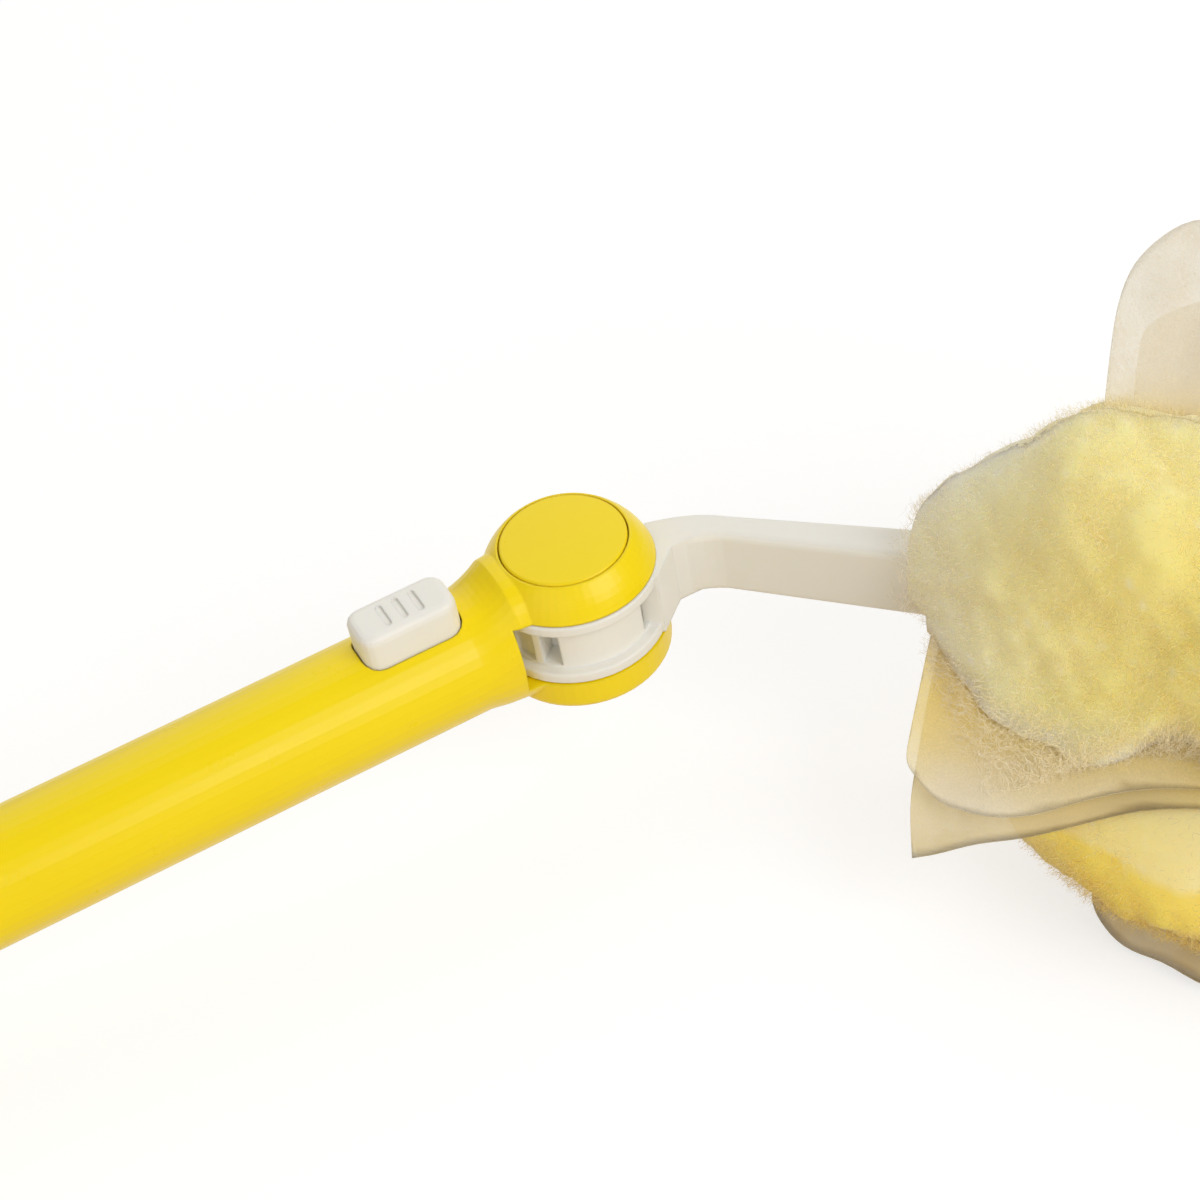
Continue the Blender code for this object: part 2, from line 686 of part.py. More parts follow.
def make_fork_arm(head):
    half = hub_height / 2
    rim = half - flange_thickness
    hole = pin_radius + running_gap
    edge = flange_edge
    hub = [(hole, -half), (hub_radius - edge, -half), (hub_radius, edge - half), (hub_radius, -rim - edge),
           (hub_radius - edge, -rim), (hub_wall_radius, -rim), (hub_wall_radius, rim),
           (hub_radius - edge, rim), (hub_radius, rim + edge), (hub_radius, half - edge),
           (hub_radius - edge, half), (hole, half)]
    arm = make_object("fork_arm", turned(hub, "Z", ear_facets, True), head, "white_plastic")

    inner = hub_wall_radius - notch_depth
    outer = hub_radius + overrun
    notch_half = rim - notch_rim
    for index, lock in enumerate(lock_angles):
        cutter = make_object("notch_cutter_%d" % index, block((inner, -notch_width / 2, -notch_half),
                             (outer, notch_width / 2, notch_half)), head)
        cutter.rotation_euler = (0, 0, math.pi + math.radians(lock))
        cut(arm, cutter)
    core = make_object("core_cutter", block((hub_wall_radius - core_depth, -core_width / 2, -notch_half),
                       (outer, core_width / 2, notch_half)), head)
    core.rotation_euler = (0, 0, math.radians(core_angle))
    cut(arm, core)

    gusset = [polar(hub_wall_radius - core_depth, gusset_angle - gusset_lead_angle),
              polar(gusset_rim, gusset_angle),
              polar(gusset_corner, gusset_corner_angle), (arm_bend_end - arm_corner, arm_offset),
              (arm_start + arm_root_thickness, arm_offset), (arm_start, arm_start_side)]
    join(arm, make_object("gusset_form", prism(gusset, gusset_inset - half, half - gusset_inset), head))
    join(arm, make_object("arm_form", loft(arm_sections()), head))
    for name, side in (("upper", 1), ("lower", -1)):
        join(arm, make_object("tine_form_" + name, loft(tine_sections(side)), head))
    clear = [(0, -half - overrun), (hole, -half - overrun), (hole, half + overrun), (0, half + overrun)]
    cut(arm, make_object("hub_hole_cutter", turned(clear, "Z", small_facets), head))
    return arm


def make_button(frame):
    slide = make_empty("button_slide", frame, (button_x, 0, 0))
    rings = []
    outline_steps = 4
    levels = [(button_base, 0), (button_top - button_edge, 0)]
    for step in (1, 2, 3):
        angle = math.radians(30 * step)
        levels.append((button_top - button_edge * (1 - math.sin(angle)), button_edge * (1 - math.cos(angle))))
    for height, inset in levels:
        outline = rounded_outline(button_length / 2 - inset, button_width / 2 - inset,
                                  max(button_corner - inset, button_edge / 2), outline_steps)
        rings.append([(u, v, height) for u, v in outline])
    button = make_object("push_button", loft(rings), slide, "white_plastic")

    # The retaining lip stays inside the bore: its corners clear the wall at its own height
    reach = math.sqrt((bore_radius - touch_gap) ** 2 - button_lip_top ** 2)
    lip = rounded_outline(button_length / 2 + button_lip, min(reach, button_width / 2 + button_lip),
                          button_corner, outline_steps)
    lip_form = prism(lip, button_lip_top - button_lip_height, button_lip_top)
    join(button, make_object("lip_form", lip_form, slide))
    riser = rounded_outline(button_length / 2 - button_lip, min(reach, button_width / 2) - button_lip,
                            button_corner, outline_steps)
    join(button, make_object("riser_form", prism(riser, button_lip_top - button_lip_height / 2,
                                                 button_base + overrun), slide))
    top = button_lip_top - button_lip_height / 2
    leg = [(leg_front, leg_bottom), (leg_front, top), (leg_ramp - top, top),
           (leg_ramp - leg_bottom, leg_bottom)]
    leg = [(x - button_x, z) for x, z in leg]
    join(button, make_object("leg_form", prism(leg, -leg_half_width, leg_half_width, "XZ"), slide))
    for index in range(rib_count):
        centre = (index - (rib_count - 1) / 2) * rib_pitch
        groove = rounded_outline(rib_width / 2, rib_length / 2, rib_width / 2, 2)
        groove = [(centre + u, v) for u, v in groove]
        cut(button, make_object("groove_cutter_%d" % index, prism(groove, button_top - rib_depth,
                                                                  button_top + overrun), slide))
    return button


def make_lock(frame):
    slide = make_empty("pawl_slide", frame, (0, 0, pawl_mid_height))
    half = pawl_height / 2
    nose = -hub_wall_radius - pawl_nose_gap
    pawl = make_object("lock_pawl", block((pawl_back, -pawl_half_width, -half),
                       (pawl_shoulder - running_gap, pawl_half_width, half)), slide, "white_plastic")
    tongue = block((pawl_shoulder - overrun, -pawl_nose_half_width, -half),
                   (nose, pawl_nose_half_width, half))
    join(pawl, make_object("tongue_form", tongue, slide))
    ramp = leg_ramp - pawl_ramp_gap * math.sqrt(2)
    low = -half - overrun
    high = half + overrun
    window = [(pawl_window_front, low), (pawl_window_front, high), (ramp - pawl_mid_height - high, high),
              (ramp - pawl_mid_height - low, low)]
    opening = prism(window, -pawl_window_half_width, pawl_window_half_width, "XZ")
    cut(pawl, make_object("window_cutter", opening, slide))
    peg = [(0, pawl_back - spring_peg_length), (spring_peg_radius, pawl_back - spring_peg_length),
           (spring_peg_radius, pawl_back + overrun), (0, pawl_back + overrun)]
    join(pawl, make_object("pawl_peg_form", turned(peg, "X", small_facets), slide))

    carrier = [(0, carrier_back), (carrier_radius, carrier_back), (carrier_radius, carrier_front),
               (0, carrier_front)]
    body = make_object("pawl_carrier", turned(carrier, "X", tube_facets), frame, "white_plastic")
    floor = pawl_mid_height - half - carrier_floor_gap
    side = pawl_half_width + running_gap
    cut(body, make_object("trough_cutter", block((carrier_wall, -side, floor),
                          (carrier_front + overrun, side, carrier_radius + overrun)), frame))
    above = block((carrier_back - overrun, -carrier_radius - overrun, carrier_top),
                  (carrier_front + overrun, carrier_radius + overrun, carrier_radius + overrun))
    cut(body, make_object("carrier_top_cutter", above, frame))
    seat = make_empty("spring_seat", frame, (0, 0, pawl_mid_height))
    peg = [(0, carrier_wall - overrun), (spring_peg_radius, carrier_wall - overrun),
           (spring_peg_radius, carrier_wall + spring_peg_length), (0, carrier_wall + spring_peg_length)]
    join(body, make_object("carrier_peg_form", turned(peg, "X", small_facets), seat))

    wire_reach = spring_radius - spring_wire
    front = pawl_back - touch_gap - spring_wire
    back = carrier_wall + touch_gap + spring_wire
    curve = bpy.data.curves.new("pawl_spring", "CURVE")
    curve.dimensions = "3D"
    curve.bevel_depth = spring_wire
    curve.bevel_resolution = 1
    curve.use_fill_caps = True
    count = spring_turns * spring_points
    coil = []
    for index in range(count + 1):
        turn = math.tau * index / spring_points
        coil.append(Vector((between(front, back, index / count), wire_reach * math.cos(turn),
                            wire_reach * math.sin(turn))))
    spline = curve.splines.new("POLY")
    spline.points.add(count)
    for point, place in zip(spline.points, coil):
        point.co = (*place, 1)
    apart = min((coil[later] - coil[index]).length for index in range(count + 1)
                for later in range(index + spring_points // 2, count + 1))
    print("least gap between the spring's curls: %.2f mm" % ((apart - 2 * spring_wire) / mm))
    curve.materials.append(materials["spring_steel"])
    spring = bpy.data.objects.new("pawl_spring", curve)
    bpy.context.scene.collection.objects.link(spring)
    spring.parent = seat


def make_guides(frame):
    bore = pipe_radius + running_gap
    flange_back = -tube_length - touch_gap - collar_flange
    edge = collar_edge
    sleeve = bore_radius - touch_gap
    collar = [(bore, flange_back), (collar_radius - edge, flange_back), (collar_radius, flange_back + edge),
              (collar_radius, -tube_length - touch_gap), (sleeve, -tube_length - touch_gap),
              (sleeve, -tube_length + collar_sleeve), (bore, -tube_length + collar_sleeve)]
    make_object("guide_collar", turned(collar, "X", tube_facets, True), frame, "white_plastic")


def make_grip(frame):
    slide = make_empty("grip_slide", frame)
    hollow = pipe_radius - pipe_wall
    pipe = [(hollow, pipe_back), (pipe_radius, pipe_back), (pipe_radius, pipe_front), (hollow, pipe_front)]
    make_object("telescoping_pipe", turned(pipe, "X", tube_facets, True), slide, "anodised_pipe")
    front = pipe_front + touch_gap + stop_lip
    inner = pipe_radius + touch_gap
    stop = [(inner, front - stop_length), (stop_radius, front - stop_length), (stop_radius, front),
            (hollow, front), (hollow, front - stop_lip), (inner, front - stop_lip)]
    make_object("pipe_stop", turned(stop, "X", tube_facets, True), slide, "white_plastic")

    socket = pipe_radius + touch_gap
    profile = [(socket, grip_front), (grip_front_radius - grip_edge, grip_front),
               (grip_front_radius, grip_front - grip_edge)]
    grooves_start = grip_front - grip_groove_start
    grooves_end = grooves_start - grip_groove_count * grip_groove_pitch
    for index in range(grip_groove_count):
        x = grooves_start - index * grip_groove_pitch
        radius = between(grip_front_radius, grip_waist_radius, (index + 1) / grip_groove_count)
        profile += [(radius, x + grip_groove_width / 2), (radius - grip_groove_depth, x),
                    (radius, x - grip_groove_width / 2)]
    swell_steps = 8
    for step in range(1, swell_steps + 1):
        share = step / swell_steps
        swell = math.sin(math.pi * share * 0.5) ** 2
        x = between(grooves_end, grip_back, grip_palm_share * share)
        profile.append((between(grip_waist_radius, grip_palm_radius, swell), x))
    profile += [(between(grip_palm_radius, grip_end_radius, grip_taper_fall_share),
                 between(grooves_end, grip_back, grip_taper_share)),
                (grip_end_radius, grip_back + grip_edge), (grip_end_radius - touch_gap, grip_back),
                (grip_hollow_radius, grip_back), (grip_hollow_radius, pipe_back - touch_gap),
                (socket, pipe_back - touch_gap)]
    make_object("rear_grip", turned(profile, "X", tube_facets, True), slide, "yellow_plastic")

    plug = grip_hollow_radius - touch_gap
    rim_back = grip_back - touch_gap - end_cap_rim
    dome = [(plug - end_cap_plug_wall, grip_back + end_cap_plug_length),
            (plug, grip_back + end_cap_plug_length),
            (plug, grip_back - touch_gap), (grip_end_radius - touch_gap, grip_back - touch_gap),
            (grip_end_radius, rim_back)]
    for step in range(1, arc_steps + 1):
        angle = math.radians(90 * step / arc_steps)
        dome.append((grip_end_radius * math.cos(angle), rim_back - end_cap_dome * math.sin(angle)))
    dome += [(0, rim_back), (plug - end_cap_plug_wall, rim_back)]
    cap = make_object("end_cap", turned(dome, "X", tube_facets, True), slide, "white_plastic")
    eye_back = rim_back - eye_length
    eye = [(rim_back, eye_half_width), (rim_back, -eye_half_width)]
    eye += arc(eye_back + eye_half_width, 0, eye_half_width, 270, 90, 2 * arc_steps)
    join(cap, make_object("eye_form", prism(eye, -eye_thickness / 2, eye_thickness / 2), slide))
    hole = arc(eye_back + eye_half_width, 0, eye_hole_radius, 0, 360 - 360 / small_facets, small_facets - 1)
    cut(cap, make_object("eye_cutter", prism(hole, -eye_thickness, eye_thickness), slide))


def pocket_offset(z):
    """Half the pocket's inner opening at height z: wide over each tine, welded between and beside them."""
    from_tine = abs(abs(z) - tine_spread)
    flat = tine_width / 2 + pocket_clearance
    share = max(0.0, min(1.0, (from_tine - flat) / pocket_shoulder))
    fall = share * share * (3 - 2 * share)
    return between(tine_thickness / 2 + pocket_clearance, pocket_weld_gap / 2, fall)


def make_pocket(name, side, refill):
    heights = []
    rows = 28
    for row in range(rows + 1):
        heights.append(between(-pocket_half_height, pocket_half_height, row / rows))
    inner = [(side * pocket_offset(z), z) for z in heights]
    outer = [(side * (pocket_offset(z) + pocket_skin), z) for z in reversed(heights)]
    make_object(name, prism(inner + outer, pocket_start, pocket_end, "YZ"), refill, "nonwoven")


def boundary_angle(angle, radius):
    turn = boundary_turns.get(angle, 0.0)
    return angle + turn * (radius / fibre_radius) ** boundary_turn_power


def boundary_offset(angle):
    """Half the room that a boundary leaves between its lobes: for none, one or two flaps."""
    flaps = list(flap_angles.values()).count(angle)
    return flaps * (flap_skin / 2 + flap_gap) + lobe_gap / 2


def boundary_point(angle, radius, offset):
    """A point on a lobe's boundary, pushed off square to it, the positive way round the axis."""
    here = Vector(polar(radius, boundary_angle(angle, radius)))
    step = fibre_radius * boundary_probe_share
    ahead = Vector(polar(radius + step, boundary_angle(angle, radius + step)))
    along = (ahead - here).normalized()
    return here + Vector((-along.y, along.x)) * offset


def lobe_inner(x):
    share = max(0.0, min(1.0, (x - pocket_start + fibre_root_inner) / (2 * fibre_inner)))
    return between(fibre_root_inner, fibre_inner, share)


def lobe_reach(name, share):
    """The crown radius of a lobe at a share of the refill's length."""
    begin_share, end_share = lobe_span_shares[name]
    along = (share - begin_share) / (end_share - begin_share)
    return fibre_radius * table_value(lobe_reach_shares[name], along)


def lobe_section(x, start, end, reach):
    """One ring of a fibre lobe: up one boundary, over the crown and down the other to the pocket's face."""
    near = math.cos(math.radians((start + end) / 2)) < 0
    inner = lobe_inner(x)
    side = -1 if near else 1
    edge = reach * (1 - fibre_valley_share)
    sides = []
    for angle, sign in ((start, 1), (end, -1)):
        offset = sign * boundary_offset(angle)
        foot = inner
        for _ in range(boundary_trials):
            lean = max(abs(math.cos(math.radians(boundary_angle(angle, foot)))), least_lean_share)
            foot = min(edge * longest_foot_share, (inner + abs(offset)) / lean)
        points = []
        for step in range(boundary_steps + 1):
            point = boundary_point(angle, between(foot, edge, step / boundary_steps), offset)
            points.append(Vector((side * max(side * point.x, inner), point.y)))
        sides.append(points)
    crown = []
    first = boundary_angle(start, reach)
    last = boundary_angle(end, reach)
    waves = fibre_waves * math.tau * (x - refill_start) / (refill_end - refill_start)
    for step in range(1, crown_steps):
        share = step / crown_steps
        bump = 1 - fibre_valley_share * abs(2 * share - 1) ** crown_power
        wave = 1 + fibre_wave_share * math.sin(waves + math.tau * share)
        point = Vector(polar(reach * bump * wave, between(first, last, share)))
        crown.append(Vector((side * max(side * point.x, inner), point.y)))
    return sides[0] + crown + list(reversed(sides[1]))


def settled(point, table):
    """The point, lifted onto the table where it would lie below it."""
    up, height = table
    depth = point.dot(up) + height
    return point - up * depth if depth < 0 else point


def make_lobe(name, refill, table):
    start, end = lobe_angles[name]
    begin_share, end_share = lobe_span_shares[name]
    rings = []
    for step in range(lobe_stations):
        share = between(begin_share, end_share, station_share(step, lobe_stations - 1))
        x = between(refill_start, refill_end, share)
        section = lobe_section(x, start, end, lobe_reach(name, share))
        rings.append([settled(Vector((x, point.x, point.y)), table) for point in section])
    make_object(name, loft(rings), refill, "tow_fibre")


def make_flap(name, refill):
    """A thin sheet along a boundary between lobes, free and curled past them."""
    angle = flap_angles[name]
    side = flap_sides.get(name, 0)
    begin_share, end_share = flap_span_shares[name]
    root = flap_top_root if name == "flap_top" else flap_root
    beside = [lobe for lobe, angles in lobe_angles.items() if angle in angles]
    pitch = side * (flap_skin + flap_gap) / 2
    rings = []
    for step in range(flap_stations):
        along = station_share(step, flap_stations - 1)
        share = between(begin_share, end_share, along)
        x = between(refill_start, refill_end, share)
        reach = fibre_radius * table_value(flap_reach_shares[name], along)
        crown = max(lobe_reach(lobe, share) for lobe in beside)
        faces = []
        for face in (-1, 1):
            row = []
            for line in range(flap_rows):
                radius = between(root, reach, line / (flap_rows - 1))
                free = max(0.0, radius - crown - flap_free_margin) / fibre_radius
                point = boundary_point(angle, radius, pitch + face * flap_skin / 2)
                turn = math.radians(flap_curls.get(name, 0.0)) * free
                point = Matrix.Rotation(turn, 2) @ point
                ripple = flap_ripple * free * math.sin(math.tau * flap_ripples * share)
                point += Vector((-point.y, point.x)).normalized() * ripple
                row.append((x, point.x, point.y))
            faces.append(row)
        rings.append(faces[0] + list(reversed(faces[1])))
    shape = loft(rings)
    bmesh.ops.triangulate(shape, faces=shape.faces)
    make_object(name, shape, refill, "nonwoven")


def rest_rotation():
    """Turns the design frame so that the grip's end and the refill's underside share one level."""
    # The arm's line is level, so the up direction leans alike along X and Y
    along = -(grip_back - end_cap_rim) + arm_offset * math.sqrt(2)
    lean = 0.0
    for _ in range(20):
        level = refill_rest_drop - hub_mid_height * math.sqrt(1 - 2 * lean ** 2)
        lean = (level - grip_end_radius * math.sqrt(1 - lean ** 2)) / along
    up = Vector((lean, lean, math.sqrt(1 - 2 * lean ** 2)))
    forward = (Vector((1, 0, 0)) - up * up.x).normalized()
    left = up.cross(forward)
    rows = Matrix((forward, left, up))
    return rows, up


def build():
    rows, up = rest_rotation()
    rest = make_empty("rest_frame", None)
    head = make_empty("head_pivot", rest, (0, 0, hub_mid_height), -bend)
    refill = make_empty("refill_slide", head, (0, arm_offset, 0))
    axis_point = Vector((arm_offset * math.sin(bend), arm_offset * math.cos(bend), hub_mid_height))
    rest_height = refill_rest_drop - axis_point.dot(up)
    rest.matrix_world = Matrix.Translation((0, 0, rest_height)) @ rows.to_4x4()

    make_front_tube(rest)
    make_pivot(rest)
    make_guides(rest)
    make_fork_arm(head)
    make_button(rest)
    make_lock(rest)
    make_grip(rest)

    table = (Matrix.Rotation(bend, 3, "Z") @ up, refill_rest_drop)
    for name, side in (("pocket_sheet_far", 1), ("pocket_sheet_near", -1)):
        make_pocket(name, side, refill)
    for name in lobe_angles:
        make_lobe(name, refill, table)
    for name in flap_angles:
        make_flap(name, refill)
    centre_on_base(rest)


def centre_on_base(rest):
    """Puts the origin at the middle of the base of the whole part's box."""
    bpy.context.view_layer.update()
    graph = bpy.context.evaluated_depsgraph_get()
    low = Vector((math.inf,) * 3)
    high = -low
    for item in bpy.context.scene.objects:
        if item.hide_render or item.type == "EMPTY":
            continue
        shown = item.evaluated_get(graph)
        mesh = shown.to_mesh()
        for vertex in mesh.vertices:
            place = shown.matrix_world @ vertex.co
            low = Vector(map(min, low, place))
            high = Vector(map(max, high, place))
        shown.to_mesh_clear()
    rest.location += Vector((-(low.x + high.x) / 2, -(low.y + high.y) / 2, 0))


clear_scene()
materials = {name: make_material(name) for name in colours}
build()
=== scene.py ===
# Extendable hand duster: plastics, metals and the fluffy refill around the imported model
import json
import math

import bmesh
import bpy
import numpy as np
from mathutils import Matrix, Vector
from mathutils.bvhtree import BVHTree


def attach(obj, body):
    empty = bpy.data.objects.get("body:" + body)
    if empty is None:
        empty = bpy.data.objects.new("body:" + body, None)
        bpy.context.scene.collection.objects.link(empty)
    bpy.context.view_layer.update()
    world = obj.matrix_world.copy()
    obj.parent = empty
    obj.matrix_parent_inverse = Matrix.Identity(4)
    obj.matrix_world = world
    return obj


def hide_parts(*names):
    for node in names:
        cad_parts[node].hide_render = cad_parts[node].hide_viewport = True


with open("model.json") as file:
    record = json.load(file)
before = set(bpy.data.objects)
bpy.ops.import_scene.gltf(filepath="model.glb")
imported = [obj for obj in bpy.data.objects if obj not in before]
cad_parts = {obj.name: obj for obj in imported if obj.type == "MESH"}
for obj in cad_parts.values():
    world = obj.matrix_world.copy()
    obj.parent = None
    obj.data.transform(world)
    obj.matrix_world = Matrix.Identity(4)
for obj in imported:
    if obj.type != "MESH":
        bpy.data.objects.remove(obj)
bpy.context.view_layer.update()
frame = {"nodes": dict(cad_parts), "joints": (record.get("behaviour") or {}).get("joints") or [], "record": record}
nodes = frame["nodes"]
joints = {joint["name"]: joint for joint in frame["joints"]}
print("frame:", len(nodes), "nodes")

# Directions of the handle, the head's pin and the refill, taken from the joints
hinge = Vector(joints["head_tilt"]["pos_m"])
pinUp = Vector(joints["head_tilt"]["axis"]).normalized()
handleAlong = -Vector(joints["handle_extend"]["axis"]).normalized()
handleLeft = pinUp.cross(handleAlong)
refillAlong = Vector(joints["refill_pull_off"]["axis"]).normalized()
refillLeft = pinUp.cross(refillAlong)
hubMidHeight = 0.002  # the hinge's point stands this far above the handle's line
armOffset = 0.016  # the refill's line lies this far beside the pin
refillOrigin = hinge + refillLeft * armOffset
refillAxes = np.array([refillAlong, refillLeft, pinUp])


def newObject(name, data):
    made = bpy.data.objects.new(name, data)
    bpy.context.scene.collection.objects.link(made)
    return made


# Camera
photoCamera = {
    "elevation": 44.21,  # degrees above the plane that the head tilts in
    "handleTurn": 19.501,  # degrees between the handle and the picture's plane
    "roll": -11.929,
    "distance": 0.515687,  # metres from the hinge
    "lens": 74.75,  # mm
    "sensor": 36,
    "clipStart": 0.02,
    "picture": 1200,  # pixels across and down
    "hingePixel": (575.246, 598.583),
}


def tilted(first, second, angle):
    # two axes turned together by an angle
    return (first * math.cos(angle) + second * math.sin(angle),
            second * math.cos(angle) - first * math.sin(angle))


def placeCamera():
    elevation = math.radians(photoCamera["elevation"])
    pixelFocus = photoCamera["lens"] / photoCamera["sensor"] * photoCamera["picture"]
    level = Vector((1, 0, 0))
    back = Vector((0, -math.cos(elevation), math.sin(elevation)))
    right, up = tilted(level, back.cross(level), math.radians(photoCamera["roll"]))
    ahead = -back
    # the camera is turned until the hinge stands at its pixel
    across, down = (pixel - photoCamera["picture"] / 2 for pixel in photoCamera["hingePixel"])
    right, ahead = tilted(right, ahead, math.atan2(across, pixelFocus))
    ahead, up = tilted(ahead, up, math.atan2(down, pixelFocus))
    turn = Matrix.Rotation(-math.radians(photoCamera["handleTurn"]), 3, "Z")
    handleAxes = Matrix((handleAlong, handleLeft, pinUp)).transposed() @ turn
    data = bpy.data.cameras.new("photoCamera")
    data.lens = photoCamera["lens"]
    data.sensor_width = photoCamera["sensor"]
    data.clip_start = photoCamera["clipStart"]
    camera = newObject("photoCamera", data)
    place = hinge - pinUp * hubMidHeight + handleAxes @ back * photoCamera["distance"]
    turned = Matrix((handleAxes @ right, handleAxes @ up, -(handleAxes @ ahead))).transposed().to_4x4()
    camera.matrix_world = Matrix.Translation(place) @ turned
    bpy.context.scene.camera = camera
    return camera


camera = placeCamera()
print("camera at", [round(x, 4) for x in camera.matrix_world.translation])


# Node helpers
def linear(code):
    # an sRGB hex value as the linear colour that shaders take
    shares = [int(code[i:i + 2], 16) / 255 for i in (1, 3, 5)]
    return [s / 12.92 if s <= 0.04045 else ((s + 0.055) / 1.055) ** 2.4 for s in shares] + [1.0]


def fill(tree, node, values):
    # a lower-case name belongs to the node, the others to its sockets; a node gives its first output
    for key, value in values.items():
        if isinstance(value, bpy.types.Node):
            value = value.outputs[0]
        elif isinstance(value, str) and value.startswith("#"):
            value = linear(value)
        if isinstance(key, str) and key[0].islower():
            setattr(node, key, value)
        elif isinstance(value, bpy.types.NodeSocket):
            tree.links.new(value, node.inputs[key])
        else:
            node.inputs[key].default_value = value
    return node


def addNode(tree, kind, values=None):
    return fill(tree, tree.nodes.new("ShaderNode" + kind), values or {})


def newMaterial(name, values):
    made = bpy.data.materials.new(name)
    made.use_nodes = True
    tree = made.node_tree
    return made, tree, fill(tree, tree.nodes["Principled BSDF"], values)


def patternScale(millimetres):
    # texture scale whose pattern repeats at about this real size
    return 1000 / millimetres


# Moulded polypropylene: satin, a little soft in its highlights, faint flow marks, scuffed paler at the edges
mouldedDetail = {
    "flowMm": 38,
    "scratchMm": 4,
    "smearMm": 9,
    "smearRange": (0.3, 0.7),  # pattern values over which the gloss changes
    "edgeTurn": (0.985, 0.80),  # likeness of the rounded and the flat normal where wear begins and is full
    "edgeWear": 0.55,
}
yellowPlastic = {
    **mouldedDetail,
    "colour": "#FADF06",
    "flow": "#F7D903",
    "scuffed": "#FBE765",
    "specular": 0.34,
    "roughness": (0.27, 0.35),
    "grainMm": 0.6,
    "grainDepth": 0.000012,
    "edgeMm": 0.6,
    "subsurface": 0.05,
    "subsurfaceMm": (1.6, 1.1, 0.2),
}
whitePlastic = {
    **mouldedDetail,
    "colour": "#F1F0EB",
    "flow": "#ECEAE2",
    "scuffed": "#F7F6F2",
    "specular": 0.45,
    "roughness": (0.36, 0.48),
    "grainMm": 0.5,
    "grainDepth": 0.000010,
    "edgeMm": 0.7,
    "subsurface": 0.12,
    "subsurfaceMm": (2.2, 1.5, 0.9),
}


def mouldedPolypropylene(name, look):
    made, tree, shader = newMaterial(name, {
        "IOR": 1.49,
        "Subsurface Weight": look["subsurface"],
        "Subsurface Radius": [size / 1000 for size in look["subsurfaceMm"]],
        "Subsurface Scale": 1.0,
        "Specular IOR Level": look["specular"],
    })
    place = addNode(tree, "TexCoord").outputs["Object"]
    patterns = (("flowMm", 3.0, 0.5), ("scratchMm", 6.0, 0.7), ("smearMm", 4.0, 0.5), ("grainMm", 2.0, 0.5))
    flow, scratches, smear, grain = [
        addNode(tree, "TexNoise", {
            "Vector": place, "Scale": patternScale(look[size]), "Detail": detail, "Roughness": roughness})
        for size, detail, roughness in patterns]
    body = addNode(tree, "Mix", {"data_type": "RGBA", 0: flow, 6: look["colour"], 7: look["flow"]})
    # Rounded edge: the bent normal lights small edges and shows where they are
    rounded = addNode(tree, "Bevel", {"samples": 6, "Radius": look["edgeMm"] / 1000})
    flat = addNode(tree, "NewGeometry").outputs["Normal"]
    same = addNode(tree, "VectorMath", {"operation": "DOT_PRODUCT", 0: rounded, 1: flat})
    begin, full = look["edgeTurn"]
    edge = addNode(tree, "MapRange", {
        0: same.outputs["Value"], 1: begin, 2: full, 3: 0.0, 4: look["edgeWear"]})
    worn = addNode(tree, "Math", {"operation": "MULTIPLY", 0: edge, 1: scratches})
    tint = addNode(tree, "Mix", {"data_type": "RGBA", 0: worn, 6: body.outputs[2], 7: look["scuffed"]})
    (begin, end), (low, high) = look["smearRange"], look["roughness"]
    gloss = addNode(tree, "MapRange", {0: smear, 1: begin, 2: end, 3: low, 4: high})
    # Spark-eroded mould texture, drawn coarser than the real 0.1 mm so that it shows
    relief = addNode(tree, "Bump", {
        "Height": grain, "Normal": rounded, "Strength": 1.0, "Distance": look["grainDepth"]})
    fill(tree, shader, {"Base Color": tint.outputs[2], "Roughness": gloss, "Normal": relief})
    return made


# Metals: turned and drawn, with lines the way the tool went
pinSteel = {"colour": "#B9B8B4", "roughness": (0.22, 0.36), "lineMm": (0.4, 0.4, 3.0)}
springSteel = {"colour": "#8E8E90", "roughness": (0.28, 0.40), "lineMm": (0.5, 0.5, 0.5)}
anodisedPipe = {"colour": "#C9CACC", "roughness": (0.26, 0.38), "lineMm": (40.0, 0.5, 0.5)}
toolLines = {"strength": 0.6, "depth": 0.000006, "range": (0.35, 0.65)}


def workedMetal(name, look):
    made, tree, shader = newMaterial(name, {"Metallic": 1.0, "Base Color": look["colour"]})
    place = addNode(tree, "TexCoord").outputs["Object"]
    scale = [patternScale(size) for size in look["lineMm"]]
    stretched = addNode(tree, "VectorMath", {"operation": "MULTIPLY", 0: place, 1: scale})
    lines = addNode(tree, "TexNoise", {"Vector": stretched, "Scale": 1.0, "Detail": 3.0})
    (begin, end), (low, high) = toolLines["range"], look["roughness"]
    gloss = addNode(tree, "MapRange", {0: lines, 1: begin, 2: end, 3: low, 4: high})
    relief = addNode(tree, "Bump", {
        "Height": lines, "Strength": toolLines["strength"], "Distance": toolLines["depth"]})
    fill(tree, shader, {"Roughness": gloss, "Normal": relief})
    return made


# Spun-bonded polyester: thin, half see-through, cloudy from uneven fibre, with rows of bonding points
nonwoven = {
    "thin": "#FDFAF1",
    "dense": "#F6ECD6",
    "bondMm": 1.0,
    "bondRadius": (0.16, 0.34),  # of a bonding point, as shares of their spacing
    "fibreMm": 0.9,
    "fibreRelief": 2.2,  # how much the fibres count in the relief beside the bonding points
    "reliefDepth": 0.00002,
    "cloudMm": 14.0,
    "densityRange": (0.75, 1.25),
    "caught": "#FAE694",  # tow that clings to the sheet near its root
    "caughtShare": 0.9,
    "caughtFrom": (0.030, 0.054),  # metres out from the refill's line
    "caughtUneven": 0.016,  # metres that this line wanders by
    "seeThrough": (0.26, 0.52),
    "glow": 0.22,
}
